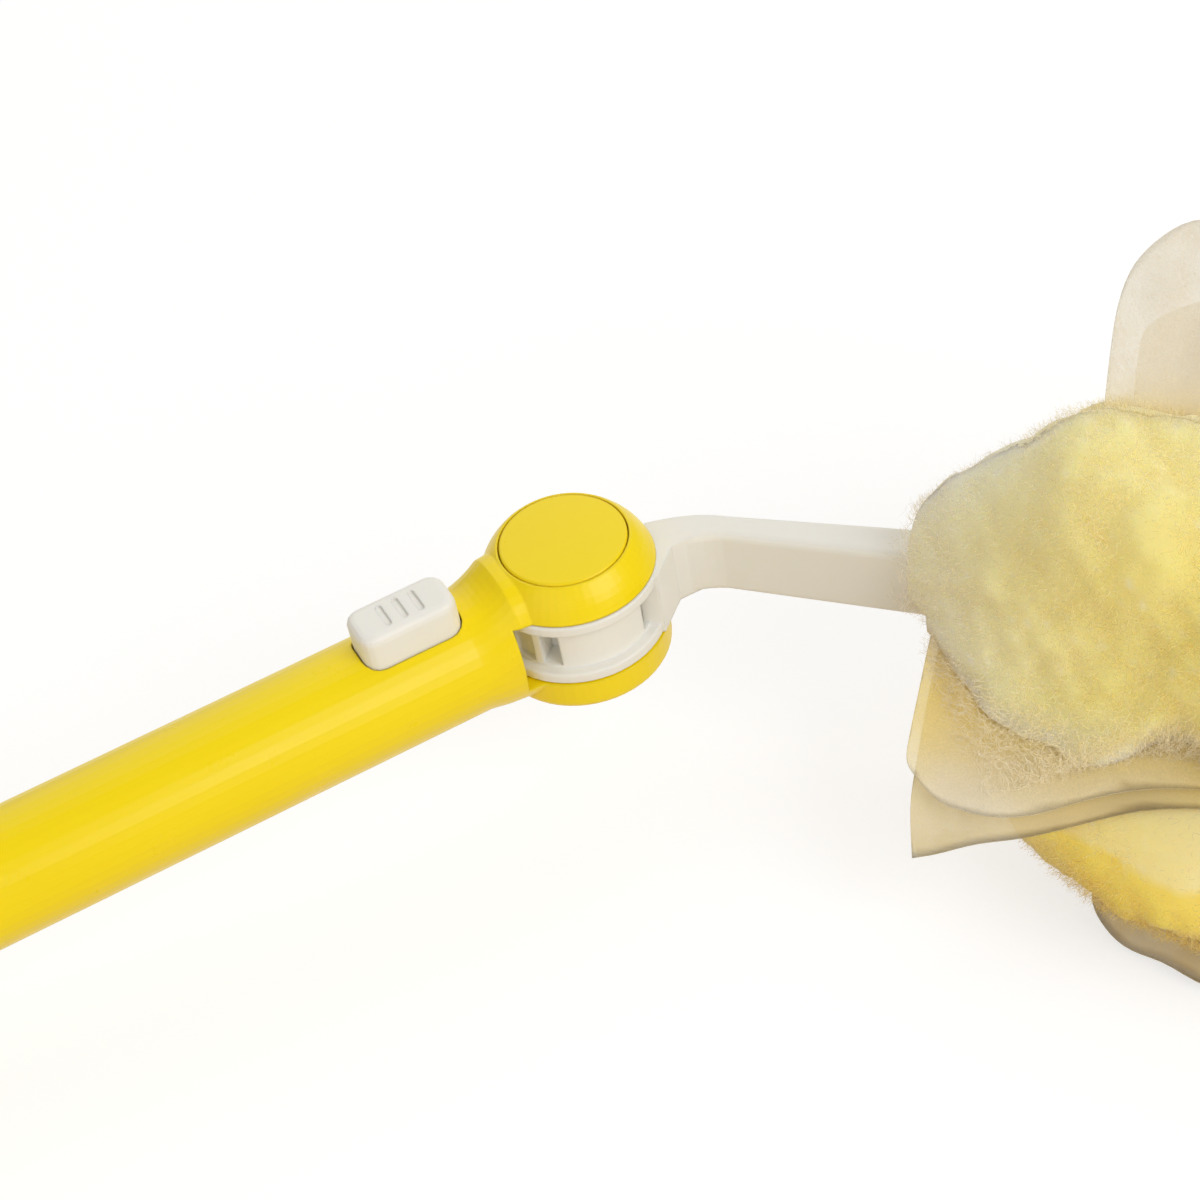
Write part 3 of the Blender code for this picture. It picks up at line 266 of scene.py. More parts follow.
# painted shade: the lower sheets, which lie against and under the tow, get a darker, warmer tan and are less
# see-through
paintedShadeNonwoven = {**nonwoven, "thin": "#F3E7C2", "dense": "#E6D4A2", "seeThrough": (0.18, 0.40)}


def bondedSheet(name, look):
    made, tree, shader = newMaterial(name, {
        "Roughness": 0.82, "Sheen Weight": 0.25, "Sheen Roughness": 0.5,
        "IOR": 1.45, "Specular IOR Level": 0.25})
    flatPlace = addNode(tree, "UVMap", {"uv_map": "flatMetres"})
    cloud = addNode(tree, "TexNoise", {
        "Vector": flatPlace, "Scale": patternScale(look["cloudMm"]), "Detail": 5.0})
    fibre = addNode(tree, "TexNoise", {
        "Vector": flatPlace, "Scale": patternScale(look["fibreMm"]),
        "Detail": 5.0, "Roughness": 0.75, "Distortion": 2.5})
    both = addNode(tree, "Math", {"operation": "ADD", 0: cloud, 1: fibre})
    thin, dense = look["densityRange"]
    density = addNode(tree, "MapRange", {0: both, 1: thin, 2: dense, 3: 0.0, 4: 1.0})
    fabric = addNode(tree, "Mix", {"data_type": "RGBA", 0: density, 6: look["thin"], 7: look["dense"]})
    # The root of the sheet is fuzzed over with tow, less and less towards the free edge
    parts = addNode(tree, "SeparateXYZ", {0: flatPlace})
    wander = look["caughtUneven"]
    uneven = addNode(tree, "Math", {"operation": "MULTIPLY_ADD", 0: cloud, 1: wander, 2: -wander / 2})
    moved = addNode(tree, "Math", {"operation": "ADD", 0: parts.outputs["Y"], 1: uneven})
    begin, end = look["caughtFrom"]
    fuzzed = addNode(tree, "MapRange", {
        "interpolation_type": "SMOOTHSTEP", 0: moved, 1: begin, 2: end, 3: look["caughtShare"], 4: 0.0})
    tint = addNode(tree, "Mix", {
        "data_type": "RGBA", 0: fuzzed, 6: fabric.outputs[2], 7: look["caught"]}).outputs[2]
    bonds = addNode(tree, "TexVoronoi", {
        "voronoi_dimensions": "2D", "Vector": flatPlace,
        "Scale": patternScale(look["bondMm"]), "Randomness": 0.12})
    inner, outer = look["bondRadius"]
    dots = addNode(tree, "MapRange", {0: bonds, 1: inner, 2: outer, 3: 0.0, 4: 1.0})
    height = addNode(tree, "Math", {"operation": "MULTIPLY_ADD", 0: fibre, 1: look["fibreRelief"], 2: dots})
    relief = addNode(tree, "Bump", {"Height": height, "Strength": 0.6, "Distance": look["reliefDepth"]})
    fill(tree, shader, {"Base Color": tint, "Normal": relief})
    glow = addNode(tree, "BsdfTranslucent", {"Color": tint, "Normal": relief})
    cloth = addNode(tree, "MixShader", {0: look["glow"], 1: shader, 2: glow})
    clear = addNode(tree, "BsdfTransparent")
    low, high = look["seeThrough"]
    gaps = addNode(tree, "MapRange", {0: density, 1: 0.0, 2: 1.0, 3: high, 4: low})
    whole = addNode(tree, "MixShader", {0: gaps, 1: cloth, 2: clear})
    fill(tree, tree.nodes["Material Output"], {"Surface": whole})
    return made


# Crimped olefin tow: dull, very fine, deep yellow where it is bundled and cream at its loose ends
towFibre = {
    "cream": "#FFF6E2",
    "yellow": "#FCEB98",
    "deep": "#F7DC6C",
    "tipCream": 0.16,  # how much creamier a strand is at its tip than at its root
    "tipMiddle": 0.6,  # share of the strand at which it has its own colour
    "glow": 0.16,
    "clear": 0.40,  # a strand is drawn thicker than the real fibre, so light passes between
    "fuzzMm": 1.3,
    "fuzzDepth": 0.0005,
    "fuzzStrength": 0.45,
    "softShare": 0.75,
    "softMm": (9.0, 7.8, 4.2),  # how far light spreads inside the bundle
}


def towColour(tree, look):
    # layer strand: the place along the strand and its creaminess; layer depth: how deep the yellow is
    layers = [addNode(tree, "UVMap", {"uv_map": name}) for name in ("strand", "depth")]
    parts, depth = [addNode(tree, "SeparateXYZ", {0: layer}) for layer in layers]
    yellow = addNode(tree, "Mix", {"data_type": "RGBA", 0: depth, 6: look["yellow"], 7: look["deep"]})
    more = look["tipCream"]
    ends = addNode(tree, "Math", {
        "operation": "MULTIPLY_ADD", 0: parts, 1: more, 2: -more * look["tipMiddle"]})
    creamy = addNode(tree, "Math", {"operation": "ADD", "use_clamp": True, 0: parts.outputs["Y"], 1: ends})
    tint = addNode(tree, "Mix", {"data_type": "RGBA", 0: creamy, 6: yellow.outputs[2], 7: look["cream"]})
    return tint.outputs[2]


def crimpedTow(name, look):
    # loose strands: thin enough to glow and to let light past
    made, tree, shader = newMaterial(name, {
        "Roughness": 0.8, "Sheen Weight": 0.35, "Sheen Roughness": 0.45,
        "IOR": 1.49, "Specular IOR Level": 0.15})
    tint = towColour(tree, look)
    fill(tree, shader, {"Base Color": tint})
    glow = addNode(tree, "BsdfTranslucent", {"Color": tint})
    fibre = addNode(tree, "MixShader", {0: look["glow"], 1: shader, 2: glow})
    clear = addNode(tree, "BsdfTransparent")
    whole = addNode(tree, "MixShader", {0: look["clear"], 1: fibre, 2: clear})
    fill(tree, tree.nodes["Material Output"], {"Surface": whole})
    return made


def packedTow(name, look):
    # the inside of a bundle: light spreads in it, and its surface is matted fuzz
    made, tree, shader = newMaterial(name, {
        "Roughness": 0.9,
        "Sheen Weight": 0.8,
        "Sheen Tint": look["cream"],
        "Sheen Roughness": 0.5,
        "IOR": 1.49,
        "Specular IOR Level": 0.1,
        "Subsurface Weight": look["softShare"],
        "Subsurface Radius": [size / 1000 for size in look["softMm"]],
        "Subsurface Scale": 1.0,
    })
    place = addNode(tree, "TexCoord").outputs["Object"]
    fuzz = addNode(tree, "TexNoise", {
        "Vector": place, "Scale": patternScale(look["fuzzMm"]),
        "Detail": 4.0, "Roughness": 0.7, "Distortion": 1.6})
    relief = addNode(tree, "Bump", {
        "Height": fuzz, "Strength": look["fuzzStrength"], "Distance": look["fuzzDepth"]})
    fill(tree, shader, {"Base Color": towColour(tree, look), "Normal": relief})
    return made


finishes = {
    "yellow_plastic": mouldedPolypropylene("mouldedYellowPolypropylene", yellowPlastic),
    "white_plastic": mouldedPolypropylene("mouldedWhitePolypropylene", whitePlastic),
    "steel": workedMetal("turnedSteel", pinSteel),
    "spring_steel": workedMetal("drawnSpringSteel", springSteel),
    "anodised_pipe": workedMetal("anodisedAluminium", anodisedPipe),
    "nonwoven": bondedSheet("spunBondedPolyester", nonwoven),
    "tow_fibre": crimpedTow("crimpedOlefinTow", towFibre),
}
packedFinish = packedTow("packedOlefinTow", towFibre)
# a darker tan copy of the sheet for the inner and lower sheets: painted shade
paintedShadeSheetFinish = bondedSheet("spunBondedPolyesterPaintedShade", paintedShadeNonwoven)
print("materials:", len(bpy.data.materials))

# Rigid pieces keep their solids and get their real finish
for part in frame["record"]["subparts"]:
    solid = nodes[part["node"]]
    solid.data.materials.clear()
    solid.data.materials.append(finishes[part["material_slot"]])
    if part["material_slot"] in ("yellow_plastic", "white_plastic"):
        # moulded faces run into each other without facets
        smooth = solid.modifiers.new("smooth", "WEIGHTED_NORMAL")
        smooth.keep_sharp = True


# Mesh helpers
def pointsOf(mesh):
    places = np.empty(len(mesh.vertices) * 3)
    mesh.vertices.foreach_get("co", places)
    return places.reshape(-1, 3)


def setPoints(mesh, places):
    mesh.vertices.foreach_set("co", places.ravel())
    mesh.update()


def addLayer(mesh, name, first, second):
    # a UV layer that carries two values per point
    corner = np.empty(len(mesh.loops), np.int64)
    mesh.loops.foreach_get("vertex_index", corner)
    layer = mesh.uv_layers.new(name=name)
    layer.data.foreach_set("uv", np.stack([first, second], axis=1)[corner].ravel())


def inRefill(places):
    # along the refill, then left and up across it
    return (places - np.array(refillOrigin)) @ refillAxes.T


def fromRefill(places):
    return places @ refillAxes + np.array(refillOrigin)


def unit(vectors):
    return vectors / np.maximum(np.linalg.norm(vectors, axis=-1, keepdims=True), 1e-12)


def softNoise(places, size, seed, terms=14):
    # smooth noise of about -1 to 1 whose swells are of this size
    rng = np.random.default_rng(seed)
    ways = unit(rng.normal(size=(terms, 3))) * rng.uniform(0.7, 1.4, (terms, 1)) * math.pi / size
    return np.sin(places @ ways.T + rng.uniform(0, math.tau, terms)).sum(axis=1) / math.sqrt(terms)


rounding = {
    "weld": 0.00001,
    "joinAngle": 40,  # degrees up to which two triangles become one quad
    "joinSkew": 50,
    "creaseAngle": 55,  # degrees from which an edge stays sharp
    "levels": 2,
}


def roundedCopy(node, name):
    # a finer, rounder copy of a soft solid's mesh that keeps its sharp rims
    shape = bmesh.new()
    shape.from_mesh(nodes[node].data)
    bmesh.ops.remove_doubles(shape, verts=shape.verts, dist=rounding["weld"])
    bmesh.ops.join_triangles(shape, faces=shape.faces,
                             angle_face_threshold=math.radians(rounding["joinAngle"]),
                             angle_shape_threshold=math.radians(rounding["joinSkew"]))
    crease = shape.edges.layers.float.new("crease_edge")
    for edge in shape.edges:
        if edge.calc_face_angle(0) > math.radians(rounding["creaseAngle"]):
            edge[crease] = 1.0
    mesh = bpy.data.meshes.new(name)
    shape.to_mesh(mesh)
    shape.free()
    piece = newObject(name, mesh)
    finer = piece.modifiers.new("finer", "SUBSURF")
    finer.levels = finer.render_levels = rounding["levels"]
    graph = bpy.context.evaluated_depsgraph_get()
    rounded = bpy.data.meshes.new_from_object(piece.evaluated_get(graph))
    piece.modifiers.clear()
    piece.data = rounded
    rounded.shade_smooth()
    return piece


# Refill: one soft cloud of tow in six bundles, with the non-woven sheets between them.
# Angles are in degrees round the refill's line, from its left over its top
sheetAngles = (188, 234, 330, 386)
topSheetAngle = 447
boundaryTurns = {188: 8.0, 234: -13.0}  # degrees that a sheet's line bends by at turnRadius
turnRadius = 0.057
turnPower = 1.5
bundles = {
    # piece: nodes that it stands for, the angles that it fills, loose strands, depth of yellow
    "towNearUpper": {"nodes": ("fibre_lobe_near_top", "fibre_lobe_near_middle"),
                     "from": 90, "to": 188, "strands": 19800, "deep": 0.15, "skirt": 1.0, "onArm": True},
    "towNearLow": {"nodes": ("fibre_lobe_near_low",),
                   "from": 188, "to": 234, "strands": 9000, "deep": 1.0},
    "towNearUnder": {"nodes": ("fibre_lobe_near_under",),
                     "from": 234, "to": 270, "strands": 5500, "deep": 0.8},
    "towFarUnder": {"nodes": ("fibre_lobe_far_under",),
                    "from": 270, "to": 330, "strands": 7000, "deep": 0.8},
    "towFarMiddle": {"nodes": ("fibre_lobe_far_middle",),
                     "from": 330, "to": 386, "strands": 7500, "deep": 0.35, "onArm": True},
    # the far top bundle also laps this far over the near one at the neck
    "towFarTop": {"nodes": ("fibre_lobe_far_top",),
                  "from": 386, "to": 450, "strands": 10500, "deep": 0.10, "closesOver": 9, "onArm": True},
}
cloudShape = {
    "stepAlong": 0.002,
    "stepRound": 3,
    "outside": 0.12,  # metres from the refill's line that are clear of it
    "closing": 12,  # how wide a valley between two bundles is filled
    "valley": 0.05,  # share of the radius that is lost where a sheet comes out
    "valleyWidth": 5.0,
    "valleyBend": 0.6,  # share of the sheet's bend that its valley follows
    "neckStart": 0.0672,  # where the tow closes round the arm, along the refill
    "overSlot": 0.0035,  # least thickness of the tow above the slot
    "ridge": {  # how the tow rises and widens from the neck, at these places along the refill
        "along": (0.0670, 0.0700, 0.0760, 0.0840, 0.0920, 0.1000, 0.1120, 0.1300),
        "tall": (0.0125, 0.0210, 0.0290, 0.0335, 0.0400, 0.0500, 0.0510, 0.0480),
        "wide": (0.0090, 0.0110, 0.0135, 0.0165, 0.0205, 0.0260, 0.0280, 0.0280),
    },
    "ridgeStarts": (68, 88),  # angles over which the near side takes the ridge's height
    "ridgePower": 3,  # how square the neck's section is
    "endFade": 0.006,
    "closedUntil": 0.104,  # where the top sheet begins to part the tow
    "skirt": 0.022,  # how far the tow runs out on the near sheet
    "sheetShows": 0.005,  # least width of sheet that stays free of tow
    "skirtAngles": (154, 192),
    "skirtPower": 3.4,
    "skirtStarts": (0.066, 0.083),
    "coreSkirt": 0.56,  # share of the skirt that is packed tow
    "coreDepth": 0.0016,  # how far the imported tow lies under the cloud's surface
    "lumps": ((0.012, 0.0009), (0.0050, 0.00042), (0.0026, 0.00026)),  # sizes and heights
    "lumpsFrom": 0.008,  # metres from the refill's line
    "lumpsOver": 0.01,
    "endRound": 0.009,
    "neckSteeper": 2.5,  # how much shorter the rounding is at the neck
    "sheetGap": 0.0012,  # between the tow and the middle of a sheet
    "seamGap": 0.0002,  # where two bundles meet without a sheet
    "midGap": 0.0003,  # least distance from the refill's middle plane
    "lapOver": 0.010,  # how far a bundle that closes over may pass that plane
    "lapUnder": 0.0006,  # how much lower it lies there
    "lapStarts": 452,
    "slot": {  # half the room that the arm, the fork's root and the pockets take
        "along": (0.0670, 0.0705, 0.0712, 0.0880, 0.0920),
        "tall": (0.0093, 0.0093, 0.0114, 0.0255, 0.0255),
        "wide": (0.0036, 0.0036, 0.0052, 0.0052, 0.0034),
    },
}
cloudSeed = 900
tableLevel = 0.0004


def onTable(places):
    places[..., 2] = np.maximum(places[..., 2], tableLevel)
    return places


def boundaryAngle(angle, radius):
    turn = boundaryTurns.get(angle, 0.0)
    return angle + turn * (np.maximum(radius, 0) / turnRadius) ** turnPower


def blurred(grid, axis, reach, wrap):
    # a soft average over this many cells to each side
    offsets = range(-2 * reach, 2 * reach + 1)
    weights = [math.exp(-0.5 * (offset / reach) ** 2) for offset in offsets]
    total = np.zeros_like(grid)
    for offset, weight in zip(offsets, weights):
        if wrap:
            total += weight * np.roll(grid, offset, axis)
        else:
            index = np.clip(np.arange(grid.shape[axis]) + offset, 0, grid.shape[axis] - 1)
            total += weight * np.take(grid, index, axis)
    return total / sum(weights)


def profileAt(x, profile, which):
    return np.interp(x, cloudShape[profile]["along"], cloudShape[profile][which])


def measureCloud():
    # how far the bundles' solids reach round the refill, with the valleys between them filled
    verts, faces = [], []
    for node in [node for settings in bundles.values() for node in settings["nodes"]]:
        mesh = nodes[node].data
        first = len(verts)
        verts += [tuple(place) for place in inRefill(pointsOf(mesh))]
        faces += [[first + corner for corner in face.vertices] for face in mesh.polygons]
    tree = BVHTree.FromPolygons(verts, faces)
    high = max(place[0] for place in verts)
    along = np.arange(cloudShape["neckStart"], high, cloudShape["stepAlong"])
    angles = np.arange(0, 360, cloudShape["stepRound"])
    reach = np.zeros((len(along), len(angles)))
    far = cloudShape["outside"]
    for i, x in enumerate(along):
        for j, angle in enumerate(np.radians(angles)):
            out = Vector((0, math.cos(angle), math.sin(angle)))
            hit = tree.ray_cast(Vector((x, 0, 0)) + out * far, -out, far)[0]
            if hit:
                reach[i, j] = math.hypot(hit.y, hit.z)
    cells = cloudShape["closing"] // cloudShape["stepRound"]
    grown = np.max([np.roll(reach, offset, 1) for offset in range(-cells, cells + 1)], axis=0)
    closed = np.min([np.roll(grown, offset, 1) for offset in range(-cells, cells + 1)], axis=0)
    for angle in (*sheetAngles, topSheetAngle):
        bent = angle + boundaryTurns.get(angle, 0.0) * cloudShape["valleyBend"]
        away = (angles - bent + 180) % 360 - 180
        closed *= 1 - cloudShape["valley"] * np.exp(-(away / cloudShape["valleyWidth"]) ** 2)
    # The tow closes round the arm and over the fork's upper edge
    start, end = cloudShape["ridgeStarts"]
    nearSide = np.clip((angles - start) / (end - start), 0, 1)[None] * (angles <= 180)
    low = profileAt(along, "slot", "tall")[:, None] + cloudShape["overSlot"]
    tall = low + (np.maximum(profileAt(along, "ridge", "tall")[:, None], low) - low) * nearSide
    wide = profileAt(along, "ridge", "wide")[:, None]
    turned = np.radians(angles)[None]
    power = cloudShape["ridgePower"]
    least = (np.abs(np.cos(turned) / wide) ** power + np.abs(np.sin(turned) / tall) ** power) ** (-1 / power)
    least *= np.clip((high - along) / cloudShape["endFade"], 0, 1)[:, None]
    closed = np.maximum(closed, least)
    closed = blurred(blurred(closed, 1, 1, True), 0, 2, False)
    return along, closed


cloudAlong, cloudReach = measureCloud()


sheetTrace = {"samples": 24, "before": 0.001, "step": 0.003, "window": 0.0025}


def measureSheet():
    # how far the near sheet reaches from the refill's line
    mesh = nodes["flap_near_outer"].data
    places = inRefill(pointsOf(mesh))
    ends = np.array([tuple(edge.vertices) for edge in mesh.edges])
    share = np.linspace(0, 1, sheetTrace["samples"])[None, :, None]
    traced = places[ends[:, 0]][:, None] * (1 - share) + places[ends[:, 1]][:, None] * share
    traced = traced.reshape(-1, 3)
    radius = np.linalg.norm(traced[:, 1:], axis=1)
    start = places[:, 0].min() - sheetTrace["before"]
    stations = np.arange(start, places[:, 0].max(), sheetTrace["step"])
    edge = [radius[np.abs(traced[:, 0] - x) < sheetTrace["window"]].max(initial=0) for x in stations]
    return stations, np.array(edge)


sheetAlong, sheetEdge = measureSheet()


def skirtAt(x, angle):
    # what the tow gains where it runs out on the near sheet
    low, high = cloudShape["skirtAngles"]
    start, end = cloudShape["skirtStarts"]
    nearSheet = np.clip((np.asarray(angle) % 360 - low) / (high - low), 0, 1) ** cloudShape["skirtPower"]
    return cloudShape["skirt"] * nearSheet * np.clip((x - start) / (end - start), 0, 1)


def reachAt(x, angle, skirt):
    # how far the tow reaches here, with this share of its skirt
    row = np.clip((x - cloudAlong[0]) / cloudShape["stepAlong"], 0, len(cloudAlong) - 1.001)
    column = (np.asarray(angle) % 360) / cloudShape["stepRound"]
    i, j = row.astype(int), column.astype(int)
    u, v = row - i, column - j
    j, k = j % cloudReach.shape[1], (j + 1) % cloudReach.shape[1]
    i = np.minimum(i, len(cloudAlong) - 2)
    reach = ((cloudReach[i, j] * (1 - v) + cloudReach[i, k] * v) * (1 - u)
             + (cloudReach[i + 1, j] * (1 - v) + cloudReach[i + 1, k] * v) * u)
    # the skirt ends short of the sheet's free edge
    room = np.interp(x, sheetAlong, sheetEdge, 0, 0) - cloudShape["sheetShows"] - reach
    return reach + np.minimum(skirt * skirtAt(x, angle), np.maximum(room, 0))


creamRules = {
    "neck": {"along": (0.079, 0.112), "share": 0.95},  # metres along the refill, from cream to yellow
    "rim": {"angle": 70, "width": 48.0, "share": 0.42},
    "broad": {"size": 0.024, "share": 0.11},
    "tufts": {"size": 0.0020, "from": 1.2, "share": 0.6},
    "skirt": {"gain": 1.9, "from": 0.10, "share": 0.9, "until": 200},
    "deepLoss": 0.55,  # share of cream that the deepest yellow takes away
    "deepTuftLoss": 0.5,
    "least": 0.04,
}


def creamShare(places, deep):
    # 1 where the tow is cream, 0 where it is yellow: cream at the neck, the upper rim and the skirt, in tufts
    low, high = creamRules["neck"]["along"]
    neck = np.clip((high - places[:, 0]) / (high - low), 0, 1) * creamRules["neck"]["share"]
    angle = np.degrees(np.arctan2(places[:, 2], places[:, 1])) % 360
    look = creamRules["rim"]
    away = (angle - look["angle"] + 180) % 360 - 180
    rim = np.exp(-(away / look["width"]) ** 2) * look["share"]
    look = creamRules["broad"]
    broad = softNoise(places, look["size"], cloudSeed) * look["share"]
    look = creamRules["tufts"]
    tufts = np.clip(softNoise(places, look["size"], cloudSeed + 1) - look["from"], 0, 1) * look["share"]
    look = creamRules["skirt"]
    out = skirtAt(places[:, 0], angle) / cloudShape["skirt"] * look["gain"] - look["from"]
    sheet = np.clip(out, 0, 1) * look["share"] * (angle < look["until"])
    pale = np.maximum(np.maximum(neck, rim), sheet) * (1 - creamRules["deepLoss"] * deep)
    tufts = tufts * (1 - creamRules["deepTuftLoss"] * deep)
    return np.clip(pale + broad + tufts + creamRules["least"], 0, 1)


def setTone(mesh, share, cream, deep):
    deep = np.full(len(share), deep)
    addLayer(mesh, "strand", share, cream)
    addLayer(mesh, "depth", deep, deep)


def newPiece(name, verts, faces):
    # faces: an array of quads, or a list of faces of any kind
    mesh = bpy.data.meshes.new(name)
    if isinstance(faces, np.ndarray):
        mesh.vertices.add(len(verts))
        mesh.vertices.foreach_set("co", verts.ravel())
        mesh.loops.add(faces.size)
        mesh.loops.foreach_set("vertex_index", faces.ravel())
        mesh.polygons.add(len(faces))
        mesh.polygons.foreach_set("loop_start", np.arange(0, faces.size, faces.shape[1]))
        mesh.update(calc_edges=True)
    else:
        mesh.from_pydata([tuple(place) for place in verts], [], faces)
    mesh.shade_smooth()
    return newObject(name, mesh)


cloudMesh = {
    "stations": 150,
    "crowding": 0.25,  # share of the stations' spacing that crowds to the ends
    "wallPoints": 7,
    "crownStep": 1.25,
    "sharpAngle": 48,
    "leastRadius": 0.004,  # where a wall's angle is still worked out
    "leastWall": 0.001,
    "endOpen": 0.02,  # share of the thickness that stays at the very ends
    "tone": 0.50,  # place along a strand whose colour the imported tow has
    "creamShare": 0.8,
}


def wallAngle(angle, radius, sign):
    # the angle of a bundle's side wall, a gap away from its sheet
    gap = cloudShape["sheetGap"] if angle in sheetAngles else cloudShape["seamGap"]
    turn = np.degrees(gap / np.maximum(radius, cloudMesh["leastRadius"]))
    return boundaryAngle(angle, radius) + sign * turn


def spanOf(settings):
    # from the neck for the bundles that close round the arm, or from where the solids start
    reach = np.concatenate([inRefill(pointsOf(nodes[node].data))[:, 0] for node in settings["nodes"]])
    low = cloudShape["neckStart"] if settings.get("onArm") else reach.min()
    return low, reach.max()


def buildCore(name, settings):
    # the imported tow: side walls along the sheets and a lumpy crown between them
    low, high = spanOf(settings)
    skirt = settings.get("skirt", 0.0) * cloudShape["coreSkirt"]
    stations, wall, crowding = cloudMesh["stations"], cloudMesh["wallPoints"], cloudMesh["crowding"]
    crown = round((settings["to"] - settings["from"]) / cloudMesh["crownStep"])
    turn = (1 - np.cos(np.linspace(0, math.pi, stations))) / 2
    xs = low + (high - low) * (crowding * turn + (1 - crowding) * np.linspace(0, 1, stations))
    near = 90 <= (settings["from"] + settings["to"]) / 2 % 360 <= 270
    side = -1 if near else 1
    rings = []
    for x in xs:
        fromEnd = min((x - low) * cloudShape["neckSteeper"], high - x) / cloudShape["endRound"]
        fall = math.sqrt(max(0.0, 1 - (1 - min(1.0, fromEnd)) ** 2))
        foot = profileAt(x, "slot", "wide")
        least = foot + cloudMesh["leastWall"]
        last = settings["to"] + settings.get("closesOver", 0) * (x < cloudShape["closedUntil"])
        edgeA = reachAt(x, settings["from"], skirt) - cloudShape["coreDepth"]
        edgeB = reachAt(x, last, skirt) - cloudShape["coreDepth"]
        radiiA = foot + (np.maximum(edgeA, least) - foot) * np.linspace(0, 1, wall)
        radiiB = foot + (np.maximum(edgeB, least) - foot) * np.linspace(1, 0, wall)
        start = wallAngle(settings["from"], radiiA[-1], 1)
        end = wallAngle(last, radiiB[0], -1)
        arc = start + (end - start) * np.linspace(0, 1, crown + 2)[1:-1]
        angles = np.concatenate([wallAngle(settings["from"], radiiA, 1), arc, wallAngle(last, radiiB, -1)])
        outer = reachAt(x, arc, skirt) - cloudShape["coreDepth"]
        outer -= cloudShape["lapUnder"] * (arc > cloudShape["lapStarts"])
        radii = np.concatenate([radiiA, outer, radiiB])
        radii = foot + (np.maximum(radii, foot) - foot) * max(fall, cloudMesh["endOpen"])
        turned = np.radians(angles)
        ring = np.stack([np.full(len(angles), x), radii * np.cos(turned), radii * np.sin(turned)], axis=1)
        rings.append(ring)
    places = np.array(rings)
    flat = places.reshape(-1, 3)
    outward = unit(flat * [0, 1, 1])
    height = np.linalg.norm(flat[:, 1:], axis=1)
    risen = np.clip((height - cloudShape["lumpsFrom"]) / cloudShape["lumpsOver"], 0, 1)
    for size, depth in cloudShape["lumps"]:
        swell = softNoise(flat, size, cloudSeed, 30) * depth
        flat += outward * (swell * risen)[:, None]
    gap = cloudShape["midGap"]
    over = -cloudShape["lapOver"] if settings.get("closesOver") else gap
    above = np.where(flat[:, 0] < cloudShape["closedUntil"], over, gap)
    inSlot = np.abs(flat[:, 2]) < profileAt(flat[:, 0], "slot", "tall")
    need = np.where(inSlot, profileAt(flat[:, 0], "slot", "wide"), above)
    flat[:, 1] = side * np.maximum(side * flat[:, 1], need)
    ring = places.shape[1]
    pairs = [(i * ring, j, (j + 1) % ring) for i in range(stations - 1) for j in range(ring)]
    faces = [(row + j, row + ring + j, row + ring + k, row + k) for row, j, k in pairs]
    faces += [tuple(range(ring)), tuple((stations - 1) * ring + j for j in reversed(range(ring)))]
    piece = newPiece(name + "Core", onTable(fromRefill(flat)), faces)
    piece.data.set_sharp_from_angle(angle=math.radians(cloudMesh["sharpAngle"]))
    cream = creamShare(flat, settings["deep"]) * cloudMesh["creamShare"]
    setTone(piece.data, np.full(len(flat), cloudMesh["tone"]), cream, settings["deep"])
    return piece


strandShape = {
    "slopeAlong": 0.002,  # steps over which the cloud's slope is measured, in metres and degrees
    "slopeRound": 2,
    "steepest": 2,
    "width": 0.00012,
    "taper": 0.55,
    "points": 6,
    "triesPerStrand": 4,
    "ends": (-0.0005, -0.001),  # metres past the bundle's start and end
    "uneven": (0.2, 1.0),
    "under": (0.0016, 0.0034),  # how deep a strand starts under the cloud's surface
    "underShare": 0.5,  # of the tow's thickness, at most
    "beyond": (-0.0012, 0.0008),
    "flyaway": 0.03,  # share of strands that stand further out
    "flyawayBeyond": 0.0018,
    "flyawayWidth": 0.6,
    "drift": (0.0010, 0.0050),  # how far a strand runs along the surface
    "driftShare": 0.6,  # of the tow's thickness, at most
    "flowSize": 0.016,
    "flowSwing": 1.3,
    "flowScatter": 1.3,
    "flowSeed": 700,
    "lean": 0.75,
    "pullPower": 1.5,
    "curl": (0.0004, 0.0010),
    "rootCurl": 0.35,
    "turns": (0.8, 1.8),
    "strandsPerTuft": 30,
    "tuftPull": 0.22,
    "sway": 0.25,  # how unevenly the strands face outward
    "seenUntil": 0.130,  # along the refill: the photo shows the tow up to here, so it is denser
    "seenDensity": 1.35,
    "sideGap": 0.6,  # share of the tow's gap to a sheet that strands keep
    "onSheet": 0.28,  # share of strands that lie out on the near sheet
    "sheetBand": 0.13,  # share of the bundle's angles that they lie in
    "paler": 0.14,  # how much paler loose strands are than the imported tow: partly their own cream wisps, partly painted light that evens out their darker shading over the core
    "creamScatter": 0.08,
}


def surfaceFrame(x, angle, skirt):
    # place, outward way and the two ways along the cloud's surface
    turned = np.radians(angle)
    radial = np.stack([np.zeros(len(x)), np.cos(turned), np.sin(turned)], axis=1)
    around = np.stack([np.zeros(len(x)), -np.sin(turned), np.cos(turned)], axis=1)
    reach = reachAt(x, angle, skirt)
    step, turn, steep = (strandShape[name] for name in ("slopeAlong", "slopeRound", "steepest"))
    slopeX = (reachAt(x + step, angle, skirt) - reachAt(x - step, angle, skirt)) / (2 * step)
    slopeA = reachAt(x, angle + turn, skirt) - reachAt(x, angle - turn, skirt)
    slopeA = slopeA / np.maximum(reach * math.radians(2 * turn), 0.0005)
    slopeX, slopeA = (np.clip(slope, -steep, steep)[:, None] for slope in (slopeX, slopeA))
    forward = np.array([1.0, 0, 0])
    out = unit(radial - forward * slopeX - around * slopeA)
    place = forward * x[:, None] + radial * reach[:, None]
    tangentX = unit(np.cross(around, out))
    tangentA = unit(np.cross(out, tangentX))
    return place, out, tangentX, tangentA


